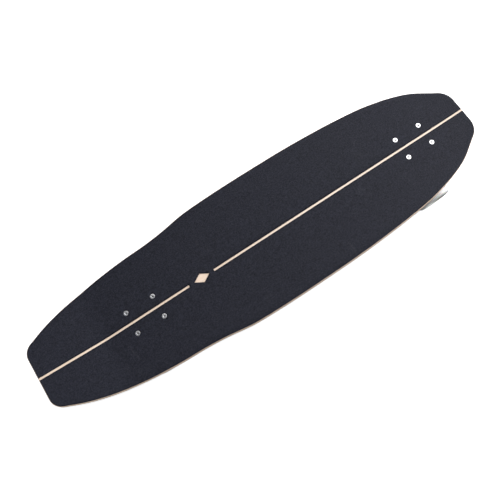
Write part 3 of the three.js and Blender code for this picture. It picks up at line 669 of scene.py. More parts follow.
def threaded(profile, thread, hexagon=None):
    """Turns a profile that gets eight rings to each pitch of its thread."""
    _, start, end, pitch, _ = thread
    return turned(ringed(profile, start, end, pitch / 8), hexagon, thread)


def rod(radius, start, end):
    return [(0, start), (radius, start), (radius, end), (0, end)]


def peg(radius, start, end):
    return turned(rod(radius, start, end))


def pipe(inner, outer, start, end):
    return [(inner, start), (outer, start), (outer, end), (inner, end), (inner, start)]


def placed(shape, matrix):
    places, faces = shape
    return np.asarray(places, float) @ matrix[:3, :3].T + matrix[:3, 3], faces


def move(x=0.0, y=0.0, z=0.0):
    matrix = np.eye(4)
    matrix[:3, 3] = x, y, z
    return matrix


def tilt(degrees, axis="Y"):
    return np.array(Matrix.Rotation(math.radians(degrees), 4, axis))


def make(name, *shapes):
    """One mesh from several closed shapes; the faces of the k-th use the k-th material."""
    places, faces = merge(shapes)
    piece = add_mesh(name, places, faces)
    which = np.repeat(np.arange(len(shapes)), [len(shape[1]) for shape in shapes])
    piece.data.polygons.foreach_set("material_index", which.astype("i4"))
    return piece


def plated_steel(name, colour, roughness):
    """Zinc plate: clouded gloss, hairline scratches and a trace of grey dirt in patches."""
    paint = Paint(name)
    cloud = paint.noise(0.35, 3, 0.6)
    hairs = paint.noise(1.0, 3, 0.6, (5, 5, 0.5))
    dirt = paint.noise(0.8, 4, 0.7).over(0.56, 0.8)
    shade = paint.blend(dirt * 0.5, colour, tuple(part * 0.5 for part in colour))
    return paint.finish(Base_Color=shade, Metallic=1.0,
                        Roughness=cloud * 0.16 + dirt * 0.2 + (roughness - 0.08),
                        Normal=paint.bump(hairs + cloud * 0.4, 0.02, 0.6))


def clouded(name, cloud, light, dark, rough, relief, marks=None, limits=None, **more):
    """A material that a noise, settings in cloud, takes from the light colour to the dark.

    limits narrows the noise to a smooth ramp. rough is (rise with the noise, least). relief is
    (depth, strength) of a bump from the same noise, or from another with settings in marks.
    """
    paint = Paint(name)
    cloud = paint.noise(*cloud)
    if limits:
        cloud = cloud.over(*limits)
    height = paint.noise(*marks) if marks else cloud
    return paint.finish(Base_Color=paint.blend(cloud, light, dark),
                        Roughness=cloud * rough[0] + rough[1],
                        Normal=paint.bump(height, *relief), **more)


def bolt_shape(length):
    corner = bolt_socket / flat_by_corner
    cone = -bolt_rim - (bolt_head - bolt_shank)
    profile = [(0, -length), (bolt_shank, -length), (bolt_shank, cone), (bolt_head, -bolt_rim),
               (bolt_head, 0), (corner + 0.2 * MM, 0), (corner, -0.25 * MM),
               (corner, -bolt_socket_depth), (0, -bolt_socket_depth)]
    thread = (bolt_shank, bolt_thread_start - length, bolt_thread - length, bolt_pitch,
              bolt_thread_depth)
    return threaded(eased(profile, 0.16 * MM), thread, bolt_socket)


# The bolts' holes in the deck, without which its wood would fill their sockets.
carve(deck, [upright(circle(bolt_shank, place), deck_underside - MM, bolt_top)
             for place in bolt_places().values()], "MANIFOLD")
bright_zinc = plated_steel("bright_zinc", (0.80, 0.80, 0.81), 0.28)
# A near-black fill in the bottom of each socket: painted shade, where the socket's depth keeps the
# light out.
socket_shade = clouded("painted_socket_shade", (1.6, 4, 0.7), (0.02, 0.02, 0.021), (0.06, 0.058, 0.055),
               (0.2, 0.7), (0.15,))
for name, (x, y) in bolt_places().items():
    seat = plate_underside[name.split("_")[0]]
    length = bolt_top - seat + nut_height + nut_collar + bolt_past_nut
    # The socket's bottom is filled with the painted shade.
    bed = turned(rod(bolt_socket, -bolt_socket_depth, -bolt_shade_top), bolt_socket)
    at = move(x, y, bolt_top)
    screw = make(name + "_truck_screw", placed(bolt_shape(length), at), placed(bed, at))
    fit_out(screw, name + "_bolt", "deck_assembly", "steel", bright_zinc, socket_shade)

# Lock nuts: pressed steel hexagons with chamfered corners and a rolled collar that holds a
# nylon ring. They clamp the baseplates up against the risers.
nut_flat = 4.75 * MM
nut_bore = 2.45 * MM


def lock_nut(flat, bore, height, collar):
    """The steel nut and its nylon ring, seated at height 0 and growing upwards."""
    corner = flat / flat_by_corner
    slope = (corner - flat) * 0.6
    lip = flat * 0.86
    ring = (lip + bore) / 2 + 0.12 * (lip - bore)
    steel = [(bore, 0), (flat * 0.97, 0), (corner, slope), (corner, height - slope),
             (flat * 0.97, height), (lip, height + 0.25 * collar), (lip * 0.96, height + collar),
             (ring, height + collar), (ring, height * 0.8), (bore, height * 0.8), (bore, 0)]
    insert = pipe(bore * 0.985, ring, height * 0.8, height + collar * 0.86)
    return turned(eased(steel, 0.12 * collar), flat), turned(eased(insert, 0.1 * collar))


def nylon(name, colour):
    """Nylon, or a smooth rubber, with a faint haze."""
    return clouded(name, (0.9, 3, 0.6), colour, [part * 0.8 for part in colour], (0.15, 0.35),
                   (0.05,), Subsurface_Weight=0.15, Subsurface_Scale=0.5 * MM)


dull_zinc = plated_steel("dull_zinc", (0.60, 0.60, 0.58), 0.36)
nut_nylon = nylon("nut_nylon", (0.62, 0.68, 0.74))
for name, (x, y) in bolt_places().items():
    at = move(x, y, plate_underside[name.split("_")[0]]) @ tilt(180, "X")
    shapes = [placed(shape, at) for shape in lock_nut(nut_flat, nut_bore, nut_height, nut_collar)]
    fit_out(make(name + "_nylon_nut", *shapes), name + "_lock_nut", "deck_assembly",
            "dark_steel", dull_zinc, nut_nylon)

# Risers: moulded rubbery pads between deck and baseplate that soften the ride. The front pad is
# thin; the rear one is tall, with two grooves round its side, and levels the board.
axle_x = {"front": 344 * MM + deck_shift, "rear": -265 * MM + deck_shift}
wheel_radius = 35 * MM
plate_half = 30 * MM
plate_corner = 8 * MM
plate_reach = {"front": (-44.49 * MM, 88.55 * MM), "rear": (-59.99 * MM, 31.99 * MM)}
bolt_offset = {"front": -8 * MM, "rear": -14 * MM}
plate_hole = 2.8 * MM
riser_top = 84.7 * MM
riser_thickness = {"front": 3 * MM, "rear": 12 * MM}
riser_grooves = {"front": (), "rear": (4 * MM, 8 * MM)}
riser_bevel = 0.5 * MM
groove_depth = 0.7 * MM


def truck_frame(truck):
    """From a truck's own frame (outboard, across, up from its axle) to the board's."""
    turn = tilt(0 if truck == "front" else 180, "Z")
    return move(axle_x[truck], 0, wheel_radius) @ turn


def hang(piece, truck, node, body, slot, *materials):
    """Moves a piece from its truck's own frame to the board's and fits it out."""
    piece.data.transform(Matrix(truck_frame(truck)))
    return fit_out(piece, node, body, slot, *materials)


def rounded_box(start, end, half, corner, levels, count=9):
    """A slab with a rounded outline: one ring of it for each (inset, height) from low to high."""
    quarter = np.linspace(0, math.pi / 2, count)
    turn = np.concatenate([quarter + k * math.pi / 2 for k in (3, 0, 1, 2)])
    centre_x = np.repeat([end - corner, end - corner, start + corner, start + corner], count)
    centre_y = np.repeat([corner - half, half - corner, half - corner, corner - half], count)
    return stacked([np.column_stack([centre_x + (corner - inset) * np.cos(turn),
                                     centre_y + (corner - inset) * np.sin(turn),
                                     np.full(len(turn), height)])
                    for inset, height in levels])


def plate_box(truck, levels):
    return rounded_box(*plate_reach[truck], plate_half, plate_corner, levels)


def bolt_holes(truck, radius, low, high):
    return [placed(peg(radius, low, high),
                   move(bolt_offset[truck] + end * bolt_along, side * bolt_across))
            for end in (-1, 1) for side in (-1, 1)]


# Dark rubbery plastic with a fine sparked texture and pale dust.
pad_black = clouded("moulded_pad", (0.06, 4, 0.65), (0.016, 0.016, 0.017),
                    (0.0376, 0.0368, 0.0362), (0.15, 0.6), (0.08, 0.7), marks=(2.6, 3, 0.7),
                    limits=(0.5, 0.8))
for truck in ("front", "rear"):
    low, high = riser_top - riser_thickness[truck], riser_top
    levels = [(riser_bevel, low), (0, low + riser_bevel)]
    for up in riser_grooves[truck]:
        levels += [(0, low + up - groove_depth), (groove_depth, low + up - groove_depth / 2),
                   (groove_depth, low + up + groove_depth / 2), (0, low + up + groove_depth)]
    levels += [(0, high - riser_bevel), (riser_bevel, high)]
    pad = make(truck + "_shock_pad", plate_box(truck, levels))
    carve(pad, bolt_holes(truck, plate_hole, low - MM, high + MM))
    hang(pad, truck, truck + "_riser", "deck_assembly", "riser", pad_black)

# Baseplates: aluminium castings in black powder coat, bolted up under the risers. The rear one
# reaches down as a tall body that holds the kingpin and the pivot cup; the front one carries a
# round housing, leaning to the nose, in which the front arm swings.
plate_thickness = 6 * MM
spot_face = 6.3 * MM
spot_depth = 0.25 * MM
plate_top = {"front": 81.4 * MM, "rear": 72.4 * MM}
body_half = 13 * MM
boss_radius = 13 * MM
boss_start = 17.1 * MM
pocket_start = 34.7 * MM
pocket_radius = 9 * MM
boss_end = 40.7 * MM
kingpin_hole = 5.1 * MM
cup_housing = 13.5 * MM
cup_housing_start = 37.5 * MM
cup_housing_end = 58 * MM
cup_bore = 10.2 * MM
cup_bore_end = 54.3 * MM
nose_clearance = 6.8 * MM
pivot_tilt = 30
kingpin_place = (-32 * MM, 21 * MM)
swing_lean = 25
swing_place = (54 * MM, 57 * MM)
housing_radius = 21 * MM
housing_start = 6.6 * MM
housing_end = 36.7 * MM
cavity_radius = 15.6 * MM
cavity_end = 19.1 * MM
shaft_hole = 5.2 * MM
shaft_hole_end = 24 * MM
milling_reach = (-100 * MM, 130 * MM, 60 * MM, 5 * MM)
milling_height = 50 * MM
casting_voxel = 0.75 * MM
melt_passes = 14
machining_stock = 0.8 * MM

# Within a truck, X runs along the pivot's axis and Z up the kingpin, from the ring's middle.
hanger_frame = move(kingpin_place[0], 0, kingpin_place[1]) @ tilt(-pivot_tilt)
# Within the front truck, Z runs up the swing shaft, from the middle of the arm's flange.
swing_frame = move(swing_place[0], 0, swing_place[1]) @ tilt(swing_lean)


def points_in(frame, *points):
    """Points (along, up) of a frame within a truck, as lengths and heights of the truck."""
    return [tuple((frame @ (along, 0, up, 1))[[0, 2]]) for along, up in points]


def sideways(outline, half):
    """A prism over an outline in the plane of length and height, to half each side."""
    outline = np.array(outline, float)
    turn = np.cross(outline, np.roll(outline, -1, axis=0)).sum()
    places, faces = upright(outline if turn > 0 else outline[::-1], -half, half)
    return places[:, [0, 2, 1]], [face[::-1] for face in faces]


def along_pivot(shape):
    return placed(shape, hanger_frame @ tilt(90))


def up_kingpin(shape):
    return placed(shape, hanger_frame)


def up_shaft(shape):
    return placed(shape, swing_frame)


def cast(name, shapes, cuts, rough):
    """A casting: closed shapes joined on a fine grid, with every corner melted to a fillet.

    The grid is a voxel remesh, and the melting moves each point towards the mean of its
    neighbours a few times. Then the machined faces are cut, one group of shapes after another.
    """
    piece = make(name, merge(shapes))
    grid = piece.modifiers.new("grid", "REMESH")
    grid.mode, grid.voxel_size, grid.use_smooth_shade = "VOXEL", casting_voxel, True
    melt = piece.modifiers.new("melt", "SMOOTH")
    melt.factor, melt.iterations = 0.5, melt_passes
    apply_modifiers(piece)
    mark_wear(piece)
    piece.data.materials.append(rough)
    piece.data.materials.append(milled)
    for group in cuts:
        carve(piece, group, "MANIFOLD", 1)
    return piece


def mark_wear(piece):
    """Stores how far each point stands proud of its neighbours, from 0 to 1, as edge_wear.

    That is the mean, over a point's edges, of the neighbour's depth below the point's own
    tangent plane, divided by the edge's length squared: half the curvature, in one over metres.
    """
    mesh = piece.data
    count = len(mesh.vertices)
    place, normal = np.empty(count * 3), np.empty(count * 3)
    mesh.vertices.foreach_get("co", place)
    mesh.vertex_normals.foreach_get("vector", normal)
    place, normal = place.reshape(-1, 3), normal.reshape(-1, 3)
    edges = np.empty(len(mesh.edges) * 2, "i4")
    mesh.edges.foreach_get("vertices", edges)
    ends = np.vstack([edges.reshape(-1, 2), edges.reshape(-1, 2)[:, ::-1]])
    way = place[ends[:, 1]] - place[ends[:, 0]]
    depth = -(way * normal[ends[:, 0]]).sum(axis=1) / (way**2).sum(axis=1)
    total, number = np.zeros(count), np.zeros(count)
    np.add.at(total, ends[:, 0], depth)
    np.add.at(number, ends[:, 0], 1)
    wear = np.clip(total / np.maximum(number, 1) * 3 * MM, 0, 1)
    for _ in range(2):
        spread = np.zeros(count)
        np.add.at(spread, ends[:, 0], wear[ends[:, 1]])
        wear = (wear + spread / np.maximum(number, 1)) / 2
    attribute = mesh.attributes.new("edge_wear", "FLOAT", "POINT")
    attribute.data.foreach_set("value", wear.astype("f4"))


def powder_coat():
    """Satin black powder coat: orange peel, dust, and edges rubbed through to the metal."""
    paint = Paint("powder_coat")
    peel = paint.noise(0.75, 3, 0.55)
    chips = paint.noise(0.55, 5, 0.7)
    dusty = paint.noise(0.045, 4, 0.65).over(0.48, 0.8)
    worn = (paint.attribute("edge_wear") + chips * 0.55).over(0.92, 1.0)
    colour = paint.blend(dusty * 0.3, (0.012, 0.012, 0.013), (0.06, 0.058, 0.055))
    colour = paint.blend(worn, colour, (0.52, 0.52, 0.53))
    return paint.finish(Base_Color=colour, Metallic=worn,
                        Roughness=dusty * 0.2 + peel * 0.1 + 0.3,
                        Normal=paint.bump(peel - worn * 0.6, 0.07, 0.8), Coat_Roughness=0.25)


def hanger_seats():
    """What carries a hanger: the kingpin's boss and the housing of the pivot cup."""
    return [up_kingpin(peg(boss_radius, boss_start, boss_end)),
            along_pivot(peg(cup_housing, cup_housing_start, cup_housing_end))]


def seat_cuts():
    """The machined faces of those seats, in groups that don't meet each other."""
    seat = [up_kingpin(peg(kingpin_hole, boss_start - 4 * MM, pocket_start + MM))]
    pocket = [up_kingpin(peg(pocket_radius, pocket_start, boss_end + 30 * MM)),
              along_pivot(turned(eased(rod(cup_bore, cup_housing_start - 6 * MM, cup_bore_end),
                                       0.5 * MM)))]
    face = [up_kingpin(peg(boss_radius + 2 * MM, boss_start - 4 * MM, boss_start))]
    return [seat, pocket, face]


def shaft_cuts(*pegs):
    """Faces machined round the swing shaft, one after another: (radius, start, end)."""
    return [[up_shaft(peg(*sizes))] for sizes in pegs]


def casting_underside():
    """The outline's lower side, from boss to cup, which clears the hanger's ring and nose."""
    return points_in(hanger_frame, (-boss_radius, pocket_start), (-boss_radius, boss_start),
                     (boss_radius, boss_start), (cup_housing_start, cup_housing - 0.3 * MM),
                     (cup_housing_end, -nose_clearance))


def plate_slab(truck):
    return plate_box(truck, [(0, plate_top[truck] - plate_thickness), (0, plate_top[truck])])


def plate_cuts(truck):
    """The milled top, and the spot faces and holes of the four bolts."""
    low, high = plate_top[truck] - plate_thickness, plate_top[truck]
    above = rounded_box(*milling_reach, [(0, high), (0, high + milling_height)])
    return [[above], bolt_holes(truck, spot_face, low - 3 * MM, low + spot_depth),
            bolt_holes(truck, plate_hole, low - MM, high + MM)]


coat = powder_coat()
# Bare turned or milled aluminium: fine tool marks and a soft grey bloom.
milled = clouded("machined_aluminium", (0.2, 3, 0.6), (0.72, 0.72, 0.73), (0.55, 0.55, 0.56),
                 (0.15, 0.22), (0.03, 0.7), marks=(1.0, 3, 0.6, (0.4, 0.4, 8)), Metallic=1.0)

body_top = plate_top["rear"] - plate_thickness / 2
rear_body = [*casting_underside(), (plate_reach["rear"][1] - plate_corner, body_top),
             (plate_reach["rear"][0], body_top)]
rear_shapes = [plate_slab("rear"), sideways(rear_body, body_half), *hanger_seats()]
rear_plate = cast("rear_plate_casting", rear_shapes, seat_cuts() + plate_cuts("rear"), coat)
hang(rear_plate, "rear", "rear_baseplate", "deck_assembly", "black_casting")

housing = peg(housing_radius, housing_start - machining_stock, housing_end)
housing_cuts = shaft_cuts((housing_radius + 2 * MM, housing_start - 4 * MM, housing_start),
                          (cavity_radius, housing_start - 5 * MM, cavity_end),
                          (shaft_hole, cavity_end - MM, shaft_hole_end))
front_plate = cast("front_plate_casting", [plate_slab("front"), up_shaft(housing)],
                   housing_cuts + plate_cuts("front"), coat)
hang(front_plate, "front", "front_baseplate", "deck_assembly", "black_casting")

# Swing arm and hangers: aluminium castings, tumbled to a satin silver and left bare. The arm hangs
# under the front housing and carries the front hanger; each hanger has a ring on the kingpin, a
# nose in the pivot cup and a long tube, braced by wings, that holds the axle.
flange_radius = 20.5 * MM
flange_top = 4.5 * MM
sleeve_bore = 7.6 * MM
arm_dip = -10.5 * MM
head_room = 13 * MM
head_room_end = -36.5 * MM
hanger_half = {"front": 70 * MM, "rear": 56 * MM}
ring_radius = 15 * MM
ring_hole = 8 * MM
ring_top = 4.5 * MM
bushing_seat = 12.4 * MM
nose_profile = [(0, 12), (9, 12), (9, 31), (6.5, 34), (6.5, 48.5), (5, 50), (0, 50)]
axle_in_hanger = (17.213 * MM, -34.187 * MM)
tube_radius = 8.8 * MM
tube_end_radius = 7.6 * MM
tube_end_length = 14 * MM
tube_taper = 16 * MM
web_half = 8 * MM
web_start = 13.6 * MM
web_brace = (31 * MM, -9 * MM)
wing_depth = 8 * MM
wing_to_end = 18 * MM
wing_shoulders = [(12, 4), (22, -12)]
wing_drop = -29 * MM
axle_bore = 4.25 * MM
bore_depth = 8 * MM
end_face = 12 * MM


def cast_metal():
    """Bare cast aluminium: a fine sandy grain, grey in the hollows, bright on rubbed edges."""
    paint = Paint("cast_metal")
    grain = paint.noise(1.9, 4, 0.65)
    cloud = paint.noise(0.05, 2, 0.5)
    edge = paint.attribute("edge_wear").over(0.2, 0.85)
    hollow = (0.5 - paint.attribute("edge_wear") + grain * 0.3).over(0.55, 0.8)
    colour = paint.blend(cloud, (0.64, 0.645, 0.655), (0.59, 0.595, 0.605))
    colour = paint.blend(hollow * 0.25, colour, (0.36, 0.36, 0.37))
    colour = paint.blend(edge * 0.8, colour, (0.80, 0.80, 0.81))
    return paint.finish(Base_Color=colour, Metallic=1.0,
                        Roughness=0.42 - edge * 0.12 + hollow * 0.08 + grain * 0.06,
                        Normal=paint.bump(grain, 0.08, 0.8))


def across_truck(shape, side=1):
    """Lays a shape that was turned about Z along the axle, growing towards that side."""
    return placed(shape, tilt(-90 * side, "X"))


def both_ways(shape, at):
    """The same shape laid along the axle twice, growing towards each side."""
    return [placed(across_truck(shape, side), at) for side in (-1, 1)]


def mirrored(points, x=1, y=-1):
    """Points of an outline, followed by their mirror images from the last to the first."""
    return [*points, *[(x * a, y * b) for a, b in points[::-1]]]


def hanger_shapes(half):
    taper_end = half - tube_end_length
    taper_start = taper_end - tube_taper
    end = half + machining_stock
    tube = mirrored([(0, -end), (tube_end_radius, -end), (tube_end_radius, -taper_end),
                     (tube_radius, -taper_start)])
    along, down = axle_in_hanger
    web = [(web_start, ring_top / 2), (web_brace[0], ring_top / 2), web_brace,
           (along + tube_end_radius, down), (web_start, down)]
    shoulder = [(out * MM, up * MM) for out, up in wing_shoulders]
    wings = mirrored([*shoulder, (half - wing_to_end, wing_drop), (half - wing_to_end, down)],
                     -1, 1)
    place = move(web_start + wing_depth / 2, 0, 0) @ tilt(90, "Z")
    shapes = [
        peg(ring_radius, -ring_top - machining_stock, ring_top + machining_stock),
        placed(turned(np.array(nose_profile) * MM), tilt(90)),
        placed(across_truck(turned(tube)), move(along, 0, down)),
        sideways(web, web_half), placed(sideways(wings, wing_depth / 2), place)]
    return [up_kingpin(shape) for shape in shapes]


def hanger_cuts(half):
    """The kingpin's hole, the bushings' seats, the tube's ends and the axle's bore."""
    hole = [peg(ring_hole, -ring_top - 3 * MM, ring_top + 3 * MM)]
    seats = [peg(bushing_seat, low, low + 6 * MM) for low in (ring_top, -ring_top - 6 * MM)]
    to_axle = move(axle_in_hanger[0], 0, axle_in_hanger[1])
    ends = both_ways(peg(end_face, half, half + 6 * MM), to_axle)
    bores = both_ways(peg(axle_bore, half - bore_depth, half + 3 * MM), to_axle)
    return [[up_kingpin(shape) for shape in group] for group in (hole, seats + ends, bores)]


bare_cast = cast_metal()

arm_body = [*casting_underside(),
            *points_in(swing_frame, (-flange_radius / 2, arm_dip), (0, -flange_top / 2),
                       (flange_top - flange_radius, flange_top / 2)),
            *points_in(hanger_frame, (cup_housing_start, cup_housing_start / 2),
                       (boss_radius, boss_end - 3 * MM))]
arm_flange = up_shaft(peg(flange_radius, -flange_top, flange_top + machining_stock))
arm_cuts = shaft_cuts((flange_radius + 2 * MM, flange_top, flange_top + 4 * MM),
                      (head_room, head_room_end, -flange_top),
                      (sleeve_bore, -flange_top - 3 * MM, flange_top + 3 * MM))
arm = cast("swing_arm_casting", [sideways(arm_body, body_half), arm_flange, *hanger_seats()],
           arm_cuts + seat_cuts(), bare_cast)
hang(arm, "front", "swing_arm", "front_arm", "cast_aluminium")

for truck, half in hanger_half.items():
    hanger = cast(truck + "_hanger_casting", hanger_shapes(half), hanger_cuts(half), bare_cast)
    hang(hanger, truck, truck + "_hanger", truck + "_axle_set", "cast_aluminium")

# Front swing: a steel shaft with a socket head runs up through a flanged bronze sleeve into the
# housing. A bronze washer takes the load, and a coil spring inside brings the arm back.
shaft_radius = 5 * MM
shaft_head = 8 * MM
shaft_head_start = -12.6 * MM
shaft_socket = 4 * MM
shaft_socket_depth = 4 * MM
# Depth of the top of the near-black fill that paints shade in the shaft's socket.
shaft_shade_top = 3.4 * MM
shaft_shoulder = -6.6 * MM
shaft_end = 23.8 * MM
sleeve_profile = [(5.15, -6.3), (12, -6.3), (12, -4.8), (7.5, -4.8), (7.5, 4.5), (5.15, 4.5),
                  (5.15, -6.3)]
thrust_ring = (15.2 * MM, 20.5 * MM, 4.8 * MM, 6.3 * MM)


def in_front(shape):
    return placed(up_shaft(shape), truck_frame("front"))


# Turned bronze that has gone a little brown, with fine rings from the lathe.
bronze = clouded("bearing_bronze", (0.25, 4, 0.65), (0.64, 0.43, 0.20), (0.36, 0.22, 0.11),
                 (0.25, 0.25), (0.03, 0.7), marks=(1.0, 3, 0.6, (0.6, 0.6, 6)), Metallic=1.0)
sleeve = in_front(turned(eased(np.array(sleeve_profile) * MM, 0.3 * MM)))
fit_out(make("flanged_sleeve", sleeve), "swing_sleeve", "front_arm", "bronze", bronze)
washer = in_front(turned(eased(pipe(*thrust_ring), 0.3 * MM)))
fit_out(make("thrust_ring", washer), "swing_thrust_washer", "deck_assembly", "bronze", bronze)

corner = shaft_socket / flat_by_corner
socket_end = shaft_head_start + shaft_socket_depth
shaft_profile = eased([
    (0, socket_end), (corner, socket_end), (corner, shaft_head_start + 0.3 * MM),
    (corner + 0.3 * MM, shaft_head_start), (shaft_head, shaft_head_start),
    (shaft_head, shaft_shoulder), (shaft_radius, shaft_shoulder), (shaft_radius, shaft_end),
    (0, shaft_end)], 0.6 * MM)
# The socket's bottom gets the same painted shade as the bolts' sockets.
bed = turned(rod(shaft_socket, shaft_head_start + shaft_shade_top, socket_end), shaft_socket)
shaft = make("swing_pin", in_front(turned(shaft_profile, shaft_socket)), in_front(bed))
fit_out(shaft, "swing_shaft", "deck_assembly", "steel", bright_zinc, socket_shade)

spring_wire = plated_steel("spring_wire", (0.34, 0.34, 0.35), 0.42)
spring = frame["nodes"]["return_spring"]
spring.data.materials.clear()
spring.data.materials.append(spring_wire)

# Kingpin stacks: a threaded steel pin runs down through the casting, a barrel bushing, the
# hanger's ring, a cone bushing, a cupped washer and a lock nut. A plastic pivot cup, pressed into
# the casting, holds the hanger's nose.
kingpin_radius = 4.76 * MM
kingpin_end = -27 * MM
kingpin_head = (7.15 * MM, 35 * MM, 41 * MM)
kingpin_pitch = 1.27 * MM
kingpin_thread = 14 * MM
kingpin_nut = (7.15 * MM, 4.8 * MM, 5 * MM, 2 * MM)
kingpin_nut_seat = -17.2 * MM
rod_round = 0.7 * MM
thread_start = 0.8 * MM
upper_bushing = [(6.4, 4.6), (11.2, 4.6), (11.7, 6.6), (12.0, 10.8), (11.7, 15), (11.2, 17),
                 (5.1, 17), (6.4, 4.6)]
lower_bushing = [(5.1, -15.2), (9.2, -15.2), (9.6, -10), (10.0, -4.6), (6.4, -4.6), (5.1, -15.2)]
washer_profile = [(5.0, -17.1), (9.4, -17.1), (11.0, -15.9), (11.3, -13.9), (10.5, -13.8),
                  (10.2, -15.0), (9.2, -15.4), (5.0, -15.4), (5.0, -17.1)]
cup_profile = [(6.8, 37.1), (10.4, 37.1), (10.4, 37.8), (10.0, 38.2), (10.0, 54), (6.8, 54),
               (6.8, 37.1)]
stack_body = {"front": "front_arm", "rear": "deck_assembly"}


def bushing_urethane():
    """Brick-red cast urethane: satin, a little cloudy, with a thin film of dust."""
    paint = Paint("bushing_urethane")
    cloud = paint.noise(0.16, 3, 0.6)
    specks = paint.noise(1.4, 4, 0.7).over(0.55, 0.8)
    colour = paint.blend(cloud, (0.50, 0.105, 0.055), (0.36, 0.07, 0.04))
    colour = paint.blend(specks * 0.3, colour, (0.30, 0.22, 0.18))
    return paint.finish(Base_Color=colour, Roughness=cloud * 0.12 + specks * 0.2 + 0.3,
                        Normal=paint.bump(cloud + specks * 0.3, 0.06, 0.6),
                        Subsurface_Weight=0.12, Subsurface_Scale=1.5 * MM)


def bushing(truck, end, profile, stack):
    """A bushing from its end on the hanger's ring to its fixed end. The two ends are passed on in
    bend, but the piece is only baked in place.
    """
    profile = np.array(profile) * MM
    low, high = profile[:, 1].min(), profile[:, 1].max()
    ends = (low, high) if low > 0 else (high, low)
    rings = ringed(eased(profile, 0.7 * MM), low + 0.5 * MM, high, 0.8 * MM)
    piece = make(f"{truck}_{end}_urethane_bushing", placed(turned(rings), stack))
    bend = [Vector((stack @ (0, 0, height, 1))[:3]) for height in ends]
    fit_out(piece, f"{truck}_{end}_bushing", (truck + "_axle_set", stack_body[truck], *bend),
            "bushing", brick_urethane)


brick_urethane = bushing_urethane()
cup_plastic = nylon("cup_plastic", (0.028, 0.028, 0.030))
for truck, body in stack_body.items():
    stack = truck_frame(truck) @ hanger_frame
    bushing(truck, "upper", upper_bushing, stack)
    bushing(truck, "lower", lower_bushing, stack)

    disc = turned(eased(np.array(washer_profile) * MM, 0.5 * MM))
    fit_out(make(truck + "_cupped_washer", placed(disc, stack)), truck + "_bushing_washer",
            body, "dark_steel", dull_zinc)

    under = stack @ move(z=kingpin_nut_seat) @ tilt(180, "X")
    nut = [placed(shape, under) for shape in lock_nut(*kingpin_nut)]
    fit_out(make(truck + "_kingpin_lock_nut", *nut), truck + "_kingpin_nut", body,
            "dark_steel", dull_zinc, nut_nylon)

    flat, low, high = kingpin_head
    thread = (kingpin_radius, kingpin_end + thread_start, kingpin_end + kingpin_thread,
              kingpin_pitch, 0.6 * MM)
    pin = threaded(eased(rod(kingpin_radius, kingpin_end, low), rod_round), thread)
    head = turned([(0, low), (flat * 1.16, low), (flat * 1.16, high - 1 * MM),
                   (flat * 0.95, high), (0, high)], flat)
    fit_out(make(truck + "_kingpin_bolt", placed(merge([pin, head]), stack)),
            truck + "_kingpin", body, "steel", bright_zinc)

    cup = along_pivot(turned(np.array(cup_profile) * MM))
    fit_out(make(truck + "_pivot_cup_liner", placed(cup, truck_frame(truck))),
            truck + "_pivot_cup", body, "bushing", cup_plastic)

# Axles, their speed washers and nuts: a straight steel rod cast into each hanger, threaded at both
# ends. Thin washers stand between the bearings and the hanger, and under each lock nut.
axle_radius = 4 * MM
axle_thread = 14 * MM
axle_pitch = 1.06 * MM
washer_radius = 6.3 * MM
washer_thickness = 1 * MM
wheel_y = {"front": 83 * MM, "rear": 69 * MM}
core_half = 12 * MM
nut_length = 6 * MM
axle_past_nut = 2 * MM
axle_nut = (6.35 * MM, 4.05 * MM, 4.4 * MM, 1.6 * MM)

for truck, half in hanger_half.items():
    middle = move(axle_x[truck], 0, wheel_radius)
    nut_start = half + 2 * washer_thickness + 2 * core_half
    reach = nut_start + nut_length + axle_past_nut
    thread = (axle_radius, reach - axle_thread, reach - thread_start, axle_pitch, 0.5 * MM)
    end = threaded(eased(rod(axle_radius, 0, reach), rod_round), thread)
    fit_out(make(truck + "_axle_rod", merge(both_ways(end, middle))), truck + "_axle",
            truck + "_axle_set", "steel", bright_zinc)

    rings = []
    for place in (half, nut_start - washer_thickness):
        ring = pipe(axle_radius + 0.1 * MM, washer_radius, place, place + washer_thickness)
        rings += both_ways(turned(eased(ring, 0.2 * MM)), middle)
    fit_out(make(truck + "_speed_washers", merge(rings)), None, truck + "_axle_set", "steel",
            bright_zinc)

    for side, word in ((1, "left"), (-1, "right")):
        nut = [placed(across_truck(placed(shape, move(z=nut_start)), side), middle)
               for shape in lock_nut(*axle_nut)]
        fit_out(make(f"{truck}_{word}_axle_lock_nut", *nut), f"{truck}_{word}_axle_nut",
                truck + "_axle_set", "dark_steel", dull_zinc, nut_nylon)

# Wheels: soft pale urethane cast round a stiff nylon core and ground true across the tread. Each
# turns on two sealed ball bearings pressed into the core from both faces.
tyre_profile = [(15.2, -11.8), (17, -15), (20.6, -25.5), (29, -25.5), (33.2, -23.6), (35, -19)]
core_profile = [(7.5, -5), (10.98, -5), (10.98, -11.6), (11.4, -12), (14.4, -12), (15.4, -11)]
wheel_sides = 128
bearing_half = 3.45 * MM
race_walls = [(9.3 * MM, 10.97 * MM), (4.1 * MM, 5.9 * MM)]
shield_wall = (5.95 * MM, 9.25 * MM)
shield_inset = 0.3 * MM
bearing_place = 8.5 * MM


def wheel_part(half_section, rounding, steps=3):
    """Half a section, in millimetres, closed by its mirror image, eased and turned."""
    whole = mirrored(half_section)
    section = eased(np.array([*whole, whole[0]]) * MM, rounding, steps)
    return turned(section, sides=wheel_sides)


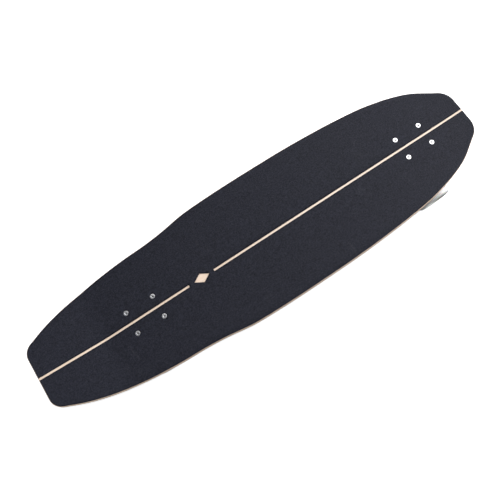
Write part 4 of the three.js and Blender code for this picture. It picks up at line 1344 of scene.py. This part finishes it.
def wheel_urethane():
    """Pale satin urethane: grinding rings round the tread, a soft bloom and a trace of dust."""
    paint = Paint("wheel_urethane")
    ground = paint.noise(1.0, 3, 0.6, (0.02, 3.2, 0.02))
    bloom = paint.noise(0.05, 3, 0.6)
    road = (paint.noise(0.22, 5, 0.65) + bloom * 0.2).over(0.6, 0.95)
    colour = paint.blend(bloom, (0.80, 0.80, 0.78), (0.745, 0.745, 0.73))
    colour = paint.blend(road * 0.22, colour, (0.48, 0.47, 0.45))
    return paint.finish(Base_Color=colour, Roughness=bloom * 0.12 + road * 0.2 + 0.34,
                        Normal=paint.bump(ground + road * 0.3, 0.04, 0.5),
                        Subsurface_Weight=0.15, Subsurface_Scale=3 * MM)


def bearing_shapes():
    """Both races as one shape, and the shield between them, lying across the Z axis."""
    races = merge([turned(eased(pipe(*wall, -bearing_half, bearing_half), 0.35 * MM))
                   for wall in race_walls])
    inside = bearing_half - shield_inset
    return races, turned(eased(pipe(*shield_wall, -inside, inside), 0.3 * MM))


pale_urethane = wheel_urethane()
core_nylon = nylon("core_nylon", (0.80, 0.80, 0.78))
race_steel = plated_steel("race_steel", (0.80, 0.80, 0.81), 0.2)
shield_rubber = nylon("shield_rubber", (0.02, 0.02, 0.022))
tyre = wheel_part(tyre_profile, 2.4 * MM, 5)
core = wheel_part(core_profile, 0.5 * MM)
for truck, out in wheel_y.items():
    for side, word in ((1, "left"), (-1, "right")):
        name, body = f"{truck}_{word}", f"{truck}_{word}_wheel_set"
        hub = move(axle_x[truck], side * out, wheel_radius)
        shapes = [placed(across_truck(shape, side), hub) for shape in (tyre, core)]
        fit_out(make(name + "_tyre", *shapes), name + "_wheel", body, "urethane",
                pale_urethane, core_nylon)
        for where, sign in (("inner", -1), ("outer", 1)):
            seat = move(0, 0, sign * bearing_place)
            shapes = [placed(across_truck(placed(shape, seat), side), hub)
                      for shape in bearing_shapes()]
            fit_out(make(f"{name}_{where}_ball_bearing", *shapes), f"{name}_{where}_bearing",
                    body, "steel", race_steel, shield_rubber)
